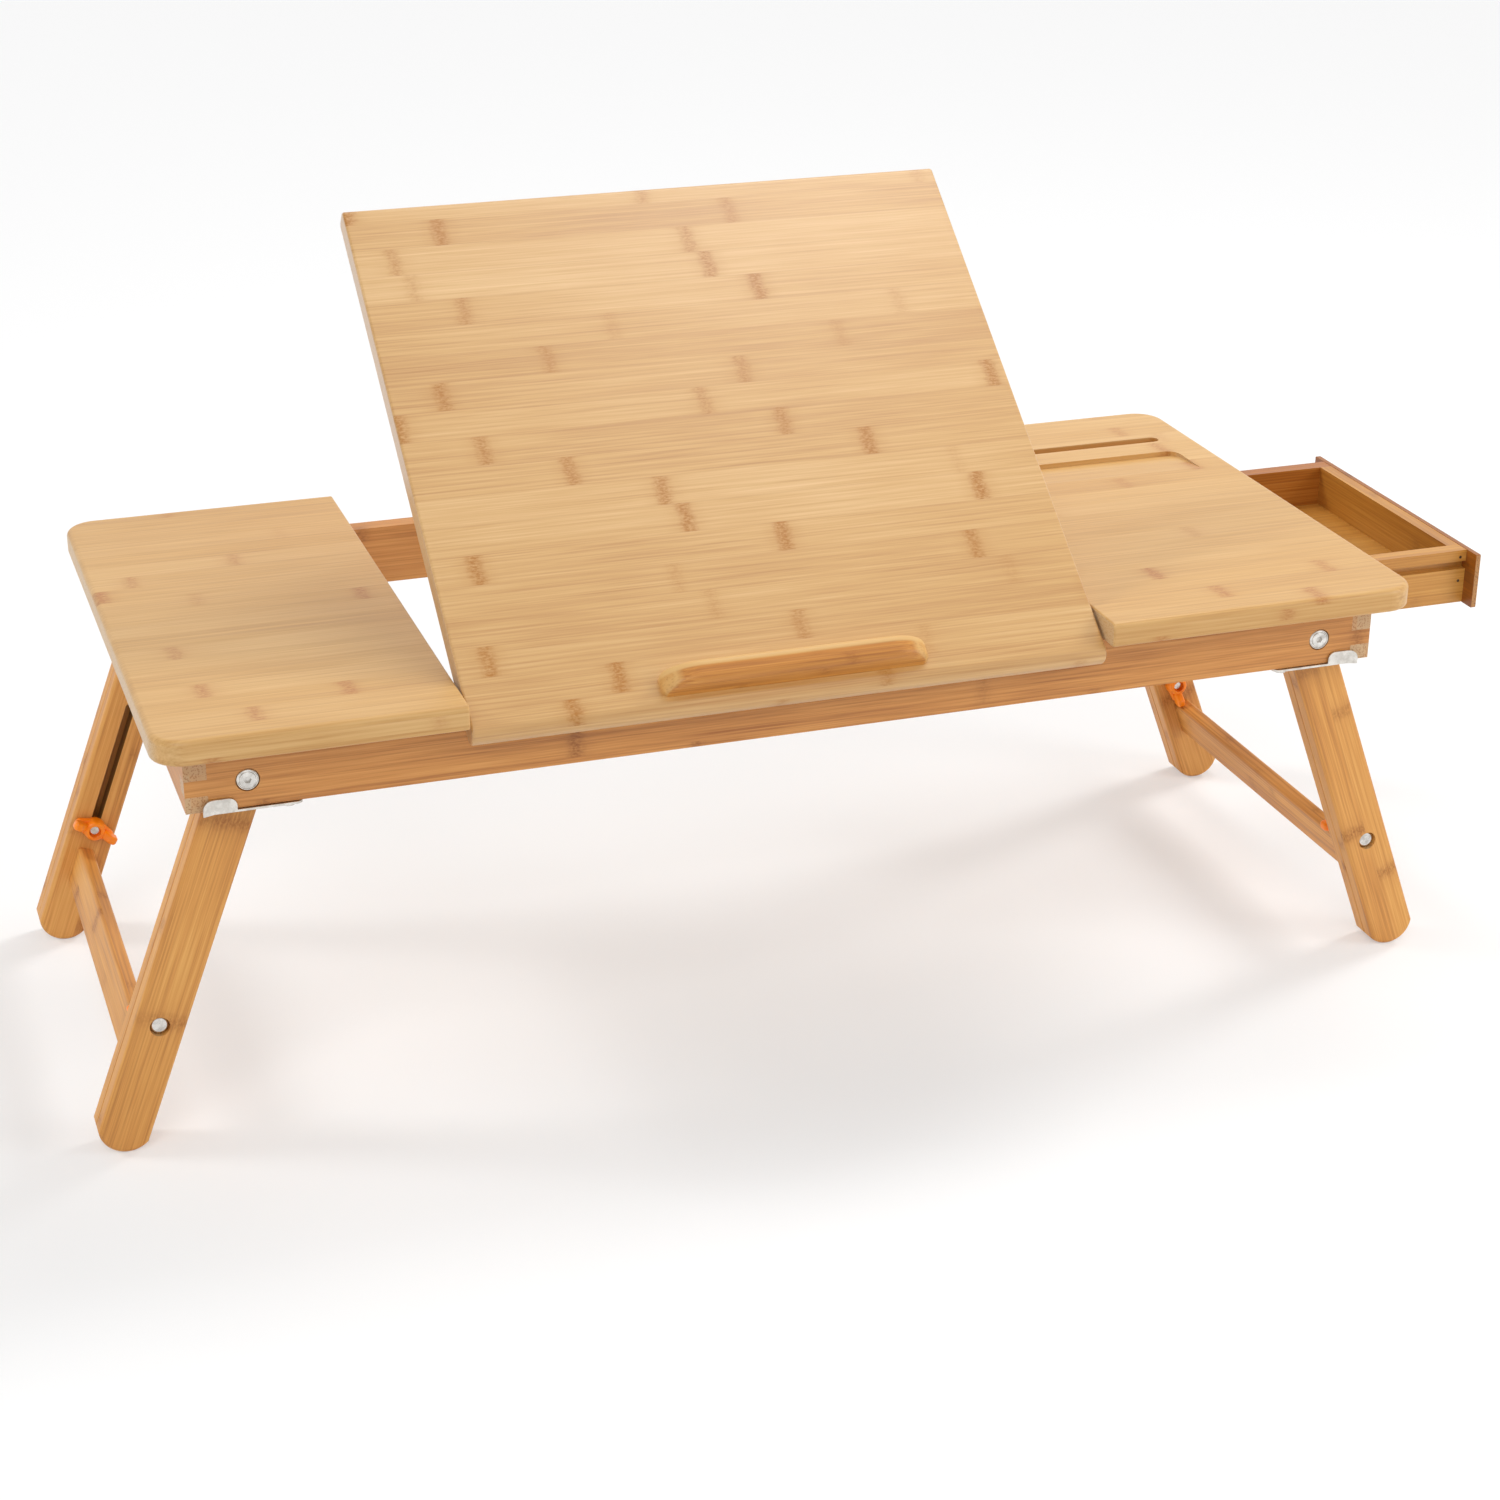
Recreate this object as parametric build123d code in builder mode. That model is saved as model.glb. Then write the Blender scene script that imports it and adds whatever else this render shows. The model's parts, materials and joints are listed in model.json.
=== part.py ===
from build123d import *
import os
from math import asin, cos, pi, radians, sin, sqrt, tan

# Bamboo lap desk: two fixed panels with a tilting flap between them, a drawer and folding legs.
# Millimetres. +Z is up, -Y faces the user, +X is the drawer's side, and the floor is at Z 0.

os.makedirs("parts", exist_ok=True)

# Table top
top_width = 720.0
top_depth = 350.0
panel_t = 14.0
panel_corner_r = 18.0
panel_end_r = 1.2
top_edge_r = 3.5
low_edge_r = 2.0
left_panel_w = 163.0
right_panel_w = 192.0

# Phone slot and the ramped rest in front of it, both cut into the right panel
slot_len = 146.0
slot_w = 9.0
slot_depth = 8.0
slot_from_back = 58.0
rest_from_slot = 25.0
rest_run = 36.0
rest_depth = 3.0
rest_corner_r = 8.0

# Frame of four rails, finger jointed at the corners
rail_h = 36.0
rail_t = 12.0
front_overhang = 22.0
back_overhang = 17.0
end_overhang = 17.0
finger_count = 4

# Tilting flap and the ledge that stops a book from sliding off
flap_gap = 1.5
flap_tilt = 37.3
flap_front_r = 6.2
flap_back_r = 3.5
flap_end_r = 1.5
hinge_setback = 28.0
hinge_pin_r = 3.0
hinge_pin_in_panel = 14.0
hinge_pin_in_flap = 10.0
ledge_len = 152.0
ledge_w = 14.0
ledge_h = 14.0
ledge_setback = 9.0
ledge_end_run = 23.0
ledge_end_lip = 1.5
ledge_edge_r = 4.0
ledge_dowel_r = 3.0
ledge_dowel_depth = 8.0
ledge_dowel_inset = 32.5

# Wire prop under the flap and the notched steel rack that its foot stands on
bail_wire_r = 2.5
bail_span = 104.0
bail_share = 0.343
bail_stub = 18.0
bail_bend_r = 6.0
bail_air = 1.4
bracket_w = 10.0
bracket_hump = 10.0
bracket_len = 30.0
bracket_t = 2.5
bracket_wall = 2.0
bracket_screw_pitch = 20.0
rack_w = 24.0
rack_t = 3.0
rack_body_t = 6.0
rack_front_land = 9.0
rack_back_land = 7.0
rack_joggle = 8.0
rack_rail_lap = 11.0
rack_sink = 0.4
rack_screw_pitch = 13.0
notch_count = 4
notch_pitch = 11.5
notch_depth = 2.6
tooth_land = 2.0

# Legs: an outer board on a pivot and an inner board that slides along it
leg_w = 28.0
leg_t = 11.0
leg_lean = 20.5
leg_edge_r = 2.5
leg_seam_r = 0.8
foot_reach = 230.0
foot_r = 15.5
pivot_drop = 21.0
lock_reach = 152.5
leg_travel = 80.0
leg_slot_w = 5.8
slider_drop = 12.0
slider_corner_r = 3.0
stretcher_w = 24.5
stretcher_t = 9.5
stretcher_corner_r = 2.0
stretcher_shift = 0.25

# Leg hardware
pivot_bolt_r = 3.5
pivot_head_r = 6.1
pivot_head_h = 2.0
pivot_head_chamfer = 0.5
pivot_disc_r = 4.2
pivot_groove_w = 0.5
pivot_groove_depth = 0.5
pivot_groove_slope = 0.3
pivot_socket_r = 2.1
pivot_socket_depth = 1.4
pivot_flange_r = 6.5
pivot_flange_h = 2.5
washer_r = 7.0
lock_bolt_r = 2.5
lock_hole_r = 5.5
lock_head_r = 4.9
lock_head_h = 2.2
lock_head_edge = 1.4
lock_sink = 4.0
lock_bolt_in_nut = 4.8
nut_base_r = 6.8
nut_top_r = 5.8
nut_h = 7.5
nut_skirt_h = 1.5
nut_rim = 0.7
nut_mouth_r = 3.6
nut_mouth_depth = 3.5
wing_r = 14.0
wing_clear = 0.5
wing_h = 11.5
wing_t = 5.0
wing_root_r = 4.6
wing_root_h = 6.3
wing_waist_h = 4.5
wing_inner_r = 9.0
wing_tip_r = 2.4
wing_edge_r = 1.6
web_r = 6.6
web_reach = 9.4
web_tip_r = 3.2
web_t = 2.4
wing_turn = {"front_left": 20.0, "back_left": -32.0, "front_right": 8.0, "back_right": -83.0}

# Spring latches under the rails, measured from the rail's end and its outer face
latch_t = 1.2
latch_start = 14.5
latch_end = 61.0
latch_depth = 10.5
latch_flange_len = 12.0
latch_flange_h = 6.5
latch_flange_r = 4.5
latch_flare = 6.0
latch_flare_out = 2.0
latch_pivot_in = 7.0
latch_end_r = 4.0
latch_tongue_at = 43.0
latch_tongue_w = 6.0
latch_tongue_short = 0.7

# Drawer, stored partly open
drawer_out = 101.8
drawer_drop = 1.4
box_len = 168.0
leg_room = 86.5
box_h = 33.6
side_t = 10.0
end_t = 8.0
bottom_t = 4.0
bottom_rise = 4.5
bottom_tongue = 3.0
face_t = 3.0
face_lap = 11.0
face_h = 34.0
face_edge_r = 0.8
groove_h = 5.0
groove_depth = 4.0
groove_drop = 7.0
nail_r = 0.9
nail_len = 17.0
nail_high = 4.4
nail_low = 19.6
runner_len = 143.0
runner_screw_inset = 28.0
runner_t = 12.0
runner_h = 20.0
stop_len = 12.0
stop_w = 30.0
stop_h = 10.0

# Wood screws
screw_r = 1.75
screw_head_r = 3.4
screw_head_h = 2.0
recess_len = 3.8
recess_w = 0.9
recess_depth = 1.1
screw_bite = 9.0
cutter_over = 1.0

# Clearances
run_clear = 0.05
screw_clear = 0.05
seat_clear = 0.4
slide_clear = 0.3
stop_clear = 0.3
leg_gap = 1.5
washer_play = 0.1
board_gap = 0.4
box_clear = 0.7
rack_clear = 0.4
bay_clear = 2.0

# Heights, worked out from the legs up
lean = radians(leg_lean)
half_leg = leg_w / 2
foot_centre = foot_reach - foot_r
foot_corner = foot_centre + sqrt(foot_r**2 - half_leg**2)
pivot_z = foot_centre * cos(lean) + foot_r
rail_top = pivot_z + pivot_drop
rail_low = rail_top - rail_h
top_z = rail_top + panel_t

# Distances from the desk's middle
half_depth = top_depth / 2
frame_y = (front_overhang - back_overhang) / 2
rail_y = half_depth - (front_overhang + back_overhang) / 2
rail_in = rail_y - rail_t
rail_end = top_width / 2 - end_overhang
stop_reach = (pivot_z - rail_low) * tan(lean) + half_leg / cos(lean) + stop_clear
pivot_reach = rail_end - rail_t - stop_reach
foot_turn = min(asin(half_leg / foot_r), pi / 2 - lean)
foot_out = pivot_reach + foot_centre * sin(lean) + foot_r * sin(lean + foot_turn)
drawer_front = rail_end + drawer_out

# The desk's middle, placed so that the box round the whole object is centred on X 0
mid_x = (foot_out - drawer_front - face_t) / 2

# Faces of the leg boards, measured from the desk's middle towards either rail
leg_face = rail_in - leg_gap
slider_face = leg_face - leg_t - board_gap
slider_back = slider_face - leg_t

# The flap's own frame: X along the hinge, Y up the slope and Z out of its upper face
flap_w = top_width - left_panel_w - right_panel_w - 2 * flap_gap
flap_mid = mid_x - top_width / 2 + left_panel_w + flap_gap + flap_w / 2
flap_t = panel_t - seat_clear
flap_top = panel_t / 2
flap_low = flap_top - flap_t
hinge_y = -half_depth + hinge_setback
hinge_z = top_z - panel_t / 2
tilt = radians(flap_tilt)
flap_plane = Plane(
    origin=(flap_mid, hinge_y, hinge_z), x_dir=(1, 0, 0), z_dir=(0, -sin(tilt), cos(tilt))
)
flap_end_plane = Plane(
    origin=(flap_mid - flap_w / 2, hinge_y, hinge_z), x_dir=(0, cos(tilt), sin(tilt)), z_dir=(1, 0, 0)
)
bay_left = flap_mid - flap_w / 2 - flap_gap
bay_right = flap_mid + flap_w / 2 + flap_gap

# Where the flap's lower face crosses the front rail's outer face when it is raised
dip_u = (frame_y - rail_y - hinge_y + flap_low * sin(tilt)) / cos(tilt)
bay_top = hinge_z + dip_u * sin(tilt) + flap_low * cos(tilt) - bay_clear

# The prop and the flap make an isosceles triangle on a line through the hinge,
# so the prop's foot keeps to that line at every tilt.
bail_n = flap_low - bail_air - bail_wire_r
bail_reach = bail_share * top_depth
bail_u = sqrt(bail_reach**2 - bail_n**2)
bail_line = asin(-bail_n / (2 * bail_reach))
bail_lag = asin(-bail_n / bail_reach) - bail_line


def foot_point(angle):
    """Y and Z of the prop's foot rod when the flap is raised by an angle in degrees."""
    reach = 2 * bail_reach * cos(radians(angle) - bail_lag)
    return hinge_y + reach * cos(bail_line), hinge_z - reach * sin(bail_line)


def tip_z(y):
    """Height of the rack's tooth tips at a place along Y."""
    return hinge_z - (y - hinge_y) * tan(bail_line) - bail_wire_r - rack_clear


ENDS = (("front", -1), ("back", 1))
SIDES = (("left", -1), ("right", 1))
CORNERS = [(f"{end}_{side}", sx, sy) for end, sy in ENDS for side, sx in SIDES]


def face_plane(y):
    """Plane square to Y at the desk's middle, with X to the right and its own Y up."""
    return Plane(origin=(mid_x, y, 0), x_dir=(1, 0, 0), z_dir=(0, -1, 0))


def end_plane(x):
    """Plane square to X, with its own X along Y and its own Y up."""
    return Plane(origin=(x, 0, 0), x_dir=(0, 1, 0), z_dir=(1, 0, 0))


def leg_plane(sx, sy, depth):
    """Plane of a leg's face through its pivot: X outwards across the leg, Y up the leg."""
    return Plane(
        origin=(mid_x + sx * pivot_reach, frame_y + sy * depth, pivot_z),
        x_dir=(sx * cos(lean), 0, sin(lean)),
        z_dir=(0, -sx, 0),
    )


def bolt_plane(x, z, sy, depth):
    """Plane through a bolt's axis: X along the bolt towards the desk's middle, Y up."""
    return Plane(origin=(x, frame_y + sy * depth, z), x_dir=(0, -sy, 0), z_dir=(-sy, 0, 0))


def lock_point(sx):
    """X and Z of the lock bolt's axis on one side of the desk."""
    return mid_x + sx * (pivot_reach + lock_reach * sin(lean)), pivot_z - lock_reach * cos(lean)


def cylinder(plane, at, near, far, radius):
    """Solid cylinder square to a plane, between two heights above it."""
    with BuildPart(mode=Mode.PRIVATE) as solid:
        with BuildSketch(plane.offset(near)):
            with Locations(at):
                Circle(radius)
        extrude(amount=far - near)
    return solid.part


def wood_screw(plane, at, head, tip):
    """Cross-head wood screw square to a plane, from its head's outer face to its tip."""
    way = 1 if tip > head else -1
    with BuildPart(mode=Mode.PRIVATE) as screw:
        add(cylinder(plane, at, head, head + way * screw_head_h, screw_head_r))
        add(cylinder(plane, at, head + way * screw_head_h, tip, screw_r))
        with BuildSketch(plane.offset(head)):
            with Locations(at):
                Rectangle(recess_len, recess_w)
                Rectangle(recess_w, recess_len)
        extrude(amount=way * recess_depth, mode=Mode.SUBTRACT)
    return screw.part


def screw_hole(plane, at, head, tip):
    """Counterbored pilot hole for a wood screw, drilled just past its tip."""
    way = 1 if tip > head else -1
    with BuildPart(mode=Mode.PRIVATE) as hole:
        head_start = head - way * cutter_over
        add(cylinder(plane, at, head_start, head + way * screw_head_h, screw_head_r + screw_clear))
        add(cylinder(plane, at, head, tip + way * screw_clear, screw_r + screw_clear))
    return hole.part


def hinge_pin_ends(sx):
    """X of a hinge pin's end in the flap and of its end in the panel."""
    edge = flap_mid + sx * flap_w / 2
    return edge - sx * hinge_pin_in_flap, edge + sx * (flap_gap + hinge_pin_in_panel)


def hinge_hole(sx):
    """Hole for one hinge pin, through the joint between the flap and a panel."""
    inner, outer = hinge_pin_ends(sx)
    plane = end_plane(inner - sx * run_clear)
    depth = outer - inner + 2 * sx * run_clear
    return cylinder(plane, (hinge_y, hinge_z), 0, depth, hinge_pin_r + run_clear)


# Runner and drawer places that several pieces share
face_low = rail_low - drawer_drop
box_low = face_low + (face_h - box_h) / 2
box_top = box_low + box_h
groove_top = box_top - groove_drop
runner_x0 = mid_x + rail_end - rail_t - runner_len
runner_x1 = mid_x + rail_end - rail_t
box_w = top_depth - 2 * leg_room
face_w = box_w + 2 * face_lap
runner_y = box_w / 2 + box_clear
runner_screw_x = [runner_x0 + runner_screw_inset, runner_x1 - runner_screw_inset]
runner_screw_head = rail_top - runner_h + screw_head_h
screw_tip = rail_top + screw_bite
back_in = frame_y + rail_in
rack_screw_y = back_in + rail_t / 2
rack_seat = rail_top - rack_t - rack_sink


# Fixed panels
def panel_outline(width, centre, outer_group):
    """Plan of a fixed panel, rounded at the table's outer corners."""
    with BuildSketch(Plane.XY.offset(rail_top), mode=Mode.PRIVATE) as plan:
        with Locations((centre, 0)):
            Rectangle(width, top_depth)
        fillet(plan.vertices().group_by(Axis.X)[outer_group], panel_corner_r)
    return plan.sketch


def outer_edges(face, inner_group):
    """Edges round a panel's broad face, without the straight one beside the flap."""
    edges = face.outer_wire().edges()
    inner = edges.filter_by(Axis.Y).group_by(Axis.X)[inner_group][0]
    return [edge for edge in edges if edge.center() != inner.center()]


left_centre = mid_x - top_width / 2 + left_panel_w / 2
with BuildPart() as left_panel:
    add(panel_outline(left_panel_w, left_centre, 0))
    extrude(amount=panel_t)
    fillet(outer_edges(left_panel.faces().sort_by(Axis.Z)[-1], -1), top_edge_r)
    fillet(outer_edges(left_panel.faces().sort_by(Axis.Z)[0], -1), low_edge_r)
    fillet(left_panel.faces().sort_by(Axis.X)[-1].outer_wire().edges(), panel_end_r)
    add(hinge_hole(-1), mode=Mode.SUBTRACT)
left_panel.part.label = "left_panel"
export_step(left_panel.part, "parts/left_panel.step")

right_centre = mid_x + top_width / 2 - right_panel_w / 2
slot_y = half_depth - slot_from_back
rest_y = slot_y - rest_from_slot

with BuildPart() as rest_cutter:
    with BuildSketch(end_plane(right_centre - slot_len / 2)):
        with BuildLine():
            Polyline(
                (rest_y, top_z + rest_depth),
                (rest_y, top_z - rest_depth),
                (rest_y - rest_run, top_z),
                (rest_y - rest_run, top_z + rest_depth),
                close=True,
            )
        make_face()
    extrude(amount=slot_len)
    fillet(
        rest_cutter.edges().filter_by(Axis.Z).group_by(Axis.Y)[-1],
        rest_corner_r,
    )

with BuildPart() as right_panel:
    add(panel_outline(right_panel_w, right_centre, -1))
    extrude(amount=panel_t)
    fillet(outer_edges(right_panel.faces().sort_by(Axis.Z)[-1], 0), top_edge_r)
    fillet(outer_edges(right_panel.faces().sort_by(Axis.Z)[0], 0), low_edge_r)
    fillet(right_panel.faces().sort_by(Axis.X)[0].outer_wire().edges(), panel_end_r)
    with BuildSketch(Plane.XY.offset(top_z)):
        with Locations((right_centre, slot_y)):
            SlotOverall(slot_len, slot_w)
    extrude(amount=-slot_depth, mode=Mode.SUBTRACT)
    add(rest_cutter.part, mode=Mode.SUBTRACT)
    add(hinge_hole(1), mode=Mode.SUBTRACT)
    for sy in (-1, 1):
        for x in runner_screw_x:
            at = (x, sy * (runner_y + runner_t / 2))
            add(screw_hole(Plane.XY, at, runner_screw_head, screw_tip), mode=Mode.SUBTRACT)
right_panel.part.label = "right_panel"
export_step(right_panel.part, "parts/right_panel.step")

# Rails
finger_h = rail_h / finger_count
long_fingers = [i for i in range(finger_count) if i % 2 == 0]
short_fingers = [i for i in range(finger_count) if i % 2 == 1]


def finger_centre(i):
    """Height of a corner finger's middle, counted down from the top of the rail."""
    return rail_top - (i + 0.5) * finger_h


latch_screw_d = latch_end - latch_pivot_in
latch_screw_o = latch_depth / 2


def latch_point(sx, sy):
    """X and Y of a latch's pivot screw."""
    return mid_x + sx * (rail_end - latch_screw_d), frame_y + sy * (rail_y - latch_screw_o)


latch_head = rail_low - slide_clear - latch_t - slide_clear - screw_head_h
latch_tip = rail_low + screw_bite


def pivot_seat(sx, sy):
    """Counterbored hole through a long rail for a leg's pivot bolt."""
    plane = bolt_plane(mid_x + sx * pivot_reach, pivot_z, sy, rail_y)
    profile = [
        (-pivot_head_h, 0),
        (-pivot_head_h, pivot_head_r + slide_clear),
        (pivot_head_h, pivot_head_r + slide_clear),
        (pivot_head_h, pivot_bolt_r + run_clear),
        (rail_t + pivot_head_h, pivot_bolt_r + run_clear),
        (rail_t + pivot_head_h, 0),
    ]
    with BuildPart(mode=Mode.PRIVATE) as seat:
        with BuildSketch(plane):
            with BuildLine():
                Polyline(*profile, close=True)
            make_face()
        revolve(axis=Axis(plane.origin, plane.x_dir))
    return seat.part


for end, sy in ENDS:
    with BuildPart() as long_rail:
        with BuildSketch(face_plane(frame_y + sy * rail_y)):
            with Locations((0, rail_top - rail_h / 2)):
                Rectangle(2 * rail_end, rail_h)
            for i in short_fingers:
                sockets = [(sx * (rail_end - rail_t / 2), finger_centre(i)) for sx in (-1, 1)]
                with Locations(*sockets):
                    Rectangle(rail_t, finger_h, mode=Mode.SUBTRACT)
            if end == "front":
                with Locations(((bay_left + bay_right) / 2 - mid_x, (bay_top + rail_top) / 2)):
                    Rectangle(bay_right - bay_left, rail_top - bay_top, mode=Mode.SUBTRACT)
        extrude(amount=sy * rail_t)
        for side, sx in SIDES:
            add(pivot_seat(sx, sy), mode=Mode.SUBTRACT)
            add(screw_hole(Plane.XY, latch_point(sx, sy), latch_head, latch_tip), mode=Mode.SUBTRACT)
        if end == "back":
            with BuildSketch(Plane.XY.offset(rack_seat)):
                with Locations((flap_mid, back_in + rack_rail_lap / 2)):
                    Rectangle(rack_w + 2 * run_clear, rack_rail_lap)
            extrude(amount=rail_top - rack_seat, mode=Mode.SUBTRACT)
            for sx in (-1, 1):
                at = (flap_mid + sx * rack_screw_pitch / 2, rack_screw_y)
                add(
                    screw_hole(Plane.XY, at, rack_seat + rack_t, rack_seat - screw_bite),
                    mode=Mode.SUBTRACT,
                )
    long_rail.part.label = f"{end}_rail"
    export_step(long_rail.part, f"parts/{end}_rail.step")

for side, sx in SIDES:
    with BuildPart() as short_rail:
        with BuildSketch(end_plane(mid_x + sx * rail_end)):
            with Locations((frame_y, rail_top - rail_h / 2)):
                Rectangle(2 * rail_y, rail_h)
            for i in long_fingers:
                sockets = [(frame_y + sy * (rail_y - rail_t / 2), finger_centre(i)) for sy in (-1, 1)]
                with Locations(*sockets):
                    Rectangle(rail_t, finger_h, mode=Mode.SUBTRACT)
            if side == "right":
                mouth_h = box_top + box_clear - rail_low
                with Locations((0, rail_low + mouth_h / 2)):
                    Rectangle(2 * runner_y, mouth_h, mode=Mode.SUBTRACT)
        extrude(amount=-sx * rail_t)
    short_rail.part.label = f"{side}_rail"
    export_step(short_rail.part, f"parts/{side}_rail.step")

# Drawer runners: a block under the panel with a tongue that carries the drawer by its groove
tongue_in = box_w / 2 - groove_depth + seat_clear
for end, sy in ENDS:
    with BuildPart() as runner:
        with BuildSketch(end_plane(runner_x0)):
            with BuildLine():
                Polyline(
                    (sy * runner_y, rail_top),
                    (sy * (runner_y + runner_t), rail_top),
                    (sy * (runner_y + runner_t), rail_top - runner_h),
                    (sy * runner_y, rail_top - runner_h),
                    (sy * runner_y, groove_top - groove_h + slide_clear),
                    (sy * tongue_in, groove_top - groove_h + slide_clear),
                    (sy * tongue_in, groove_top - slide_clear),
                    (sy * runner_y, groove_top - slide_clear),
                    close=True,
                )
            make_face()
        extrude(amount=runner_len)
        for x in runner_screw_x:
            at = (x, sy * (runner_y + runner_t / 2))
            add(screw_hole(Plane.XY, at, runner_screw_head, screw_tip), mode=Mode.SUBTRACT)
    runner.part.label = f"drawer_runner_{end}"
    export_step(runner.part, f"parts/drawer_runner_{end}.step")

with BuildPart() as runner_screws:
    for sy in (-1, 1):
        for x in runner_screw_x:
            at = (x, sy * (runner_y + runner_t / 2))
            add(wood_screw(Plane.XY, at, runner_screw_head, screw_tip))
runner_screws.part.label = "runner_screws"
export_step(runner_screws.part, "parts/runner_screws.step")

# Block behind the drawer's mouth that catches the drawer's inner end
with BuildPart() as drawer_stop:
    with BuildSketch(Plane.XY.offset(rail_top)):
        with Locations((runner_x1 - stop_len / 2, 0)):
            Rectangle(stop_len, stop_w)
    extrude(amount=-stop_h)
drawer_stop.part.label = "drawer_stop"
export_step(drawer_stop.part, "parts/drawer_stop.step")

# Drawer
face_x = mid_x + drawer_front
box_x0 = face_x - box_len
bottom_z = box_low + bottom_rise
nail_places = [
    (x, z)
    for x in (face_x - end_t / 2, box_x0 + end_t / 2)
    for z in (box_top - nail_high, box_top - nail_low)
]


def drawer_nails_at(sy, grow):
    """Nails through one drawer side into the end boards, or their holes when grown."""
    solids = []
    plane = Plane(origin=(0, sy * box_w / 2, 0), x_dir=(1, 0, 0), z_dir=(0, -1, 0))
    for at in nail_places:
        solids.append(cylinder(plane, at, 0, sy * (nail_len + grow), nail_r + grow))
    return solids


for end, sy in ENDS:
    with BuildPart() as drawer_side:
        with BuildSketch(end_plane(box_x0)):
            with Locations((sy * (box_w - side_t) / 2, box_low + box_h / 2)):
                Rectangle(side_t, box_h)
            with Locations((sy * (box_w - groove_depth) / 2, groove_top - groove_h / 2)):
                Rectangle(groove_depth, groove_h, mode=Mode.SUBTRACT)
            with Locations((sy * (box_w / 2 - side_t + bottom_tongue / 2), bottom_z + bottom_t / 2)):
                Rectangle(bottom_tongue, bottom_t, mode=Mode.SUBTRACT)
        extrude(amount=box_len)
        for hole in drawer_nails_at(sy, screw_clear):
            add(hole, mode=Mode.SUBTRACT)
    drawer_side.part.label = f"drawer_side_{end}"
    export_step(drawer_side.part, f"parts/drawer_side_{end}.step")

for name, x in (("outer", face_x - end_t), ("inner", box_x0)):
    with BuildPart() as drawer_end:
        with BuildSketch(end_plane(x)):
            with Locations((0, box_low + box_h / 2)):
                Rectangle(box_w - 2 * side_t, box_h)
        extrude(amount=end_t)
        with BuildSketch(end_plane(x)):
            with Locations((0, (box_low + bottom_z + bottom_t) / 2)):
                Rectangle(box_w - 2 * side_t, bottom_z + bottom_t - box_low)
        extrude(amount=end_t, mode=Mode.SUBTRACT)
        for sy in (-1, 1):
            for hole in drawer_nails_at(sy, screw_clear):
                add(hole, mode=Mode.SUBTRACT)
    drawer_end.part.label = f"drawer_end_{name}"
    export_step(drawer_end.part, f"parts/drawer_end_{name}.step")

with BuildPart() as drawer_bottom:
    with BuildSketch(Plane.XY.offset(bottom_z)):
        with Locations((box_x0 + box_len / 2, 0)):
            Rectangle(box_len, box_w - 2 * side_t + 2 * bottom_tongue)
    extrude(amount=bottom_t)
drawer_bottom.part.label = "drawer_bottom"
export_step(drawer_bottom.part, "parts/drawer_bottom.step")

with BuildPart() as drawer_face:
    with BuildSketch(end_plane(face_x)):
        with Locations((0, face_low + face_h / 2)):
            Rectangle(face_w, face_h)
    extrude(amount=face_t)
    fillet(drawer_face.edges().filter_by(Axis.X), face_edge_r)
drawer_face.part.label = "drawer_face"
export_step(drawer_face.part, "parts/drawer_face.step")

with BuildPart() as drawer_nails:
    for sy in (-1, 1):
        for nail in drawer_nails_at(sy, 0):
            add(nail)
drawer_nails.part.label = "drawer_nails"
export_step(drawer_nails.part, "parts/drawer_nails.step")

# Flap with its ledge
flap_len = top_depth
ledge_u = -hinge_setback + ledge_setback
ledge_dowel_x = ledge_len / 2 - ledge_dowel_inset
ledge_dowels_at = [(sx * ledge_dowel_x, ledge_u + ledge_w / 2) for sx in (-1, 1)]
bracket_at = [sx * (bail_span / 2 + bail_stub - bracket_w / 2) for sx in (-1, 1)]
bracket_screw_places = [
    (x, bail_u + way * bracket_screw_pitch / 2) for x in bracket_at for way in (-1, 1)
]
bracket_screw_head = flap_low - bracket_t - screw_head_h
bracket_screw_tip = flap_low + screw_bite

with BuildPart() as flap_board:
    with BuildSketch(flap_end_plane) as flap_profile:
        with Locations((flap_len / 2 - hinge_setback, flap_low + flap_t / 2)):
            Rectangle(flap_len, flap_t)
        fillet(flap_profile.vertices().group_by(Axis.X)[0], flap_front_r)
        fillet(flap_profile.vertices().group_by(Axis.X)[-1], flap_back_r)
    extrude(amount=flap_w)
    flap_ends = flap_board.faces().sort_by(Axis.X)
    fillet(flap_ends[0].outer_wire().edges() + flap_ends[-1].outer_wire().edges(), flap_end_r)
    for sx in (-1, 1):
        add(hinge_hole(sx), mode=Mode.SUBTRACT)
    for at in ledge_dowels_at:
        add(
            cylinder(flap_plane, at, flap_top - ledge_dowel_depth, flap_top, ledge_dowel_r + screw_clear),
            mode=Mode.SUBTRACT,
        )
    for at in bracket_screw_places:
        add(
            cylinder(flap_plane, at, flap_low, bracket_screw_tip + screw_clear, screw_r + screw_clear),
            mode=Mode.SUBTRACT,
        )
flap_board.part.label = "flap_board"
export_step(flap_board.part, "parts/flap_board.step")

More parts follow.
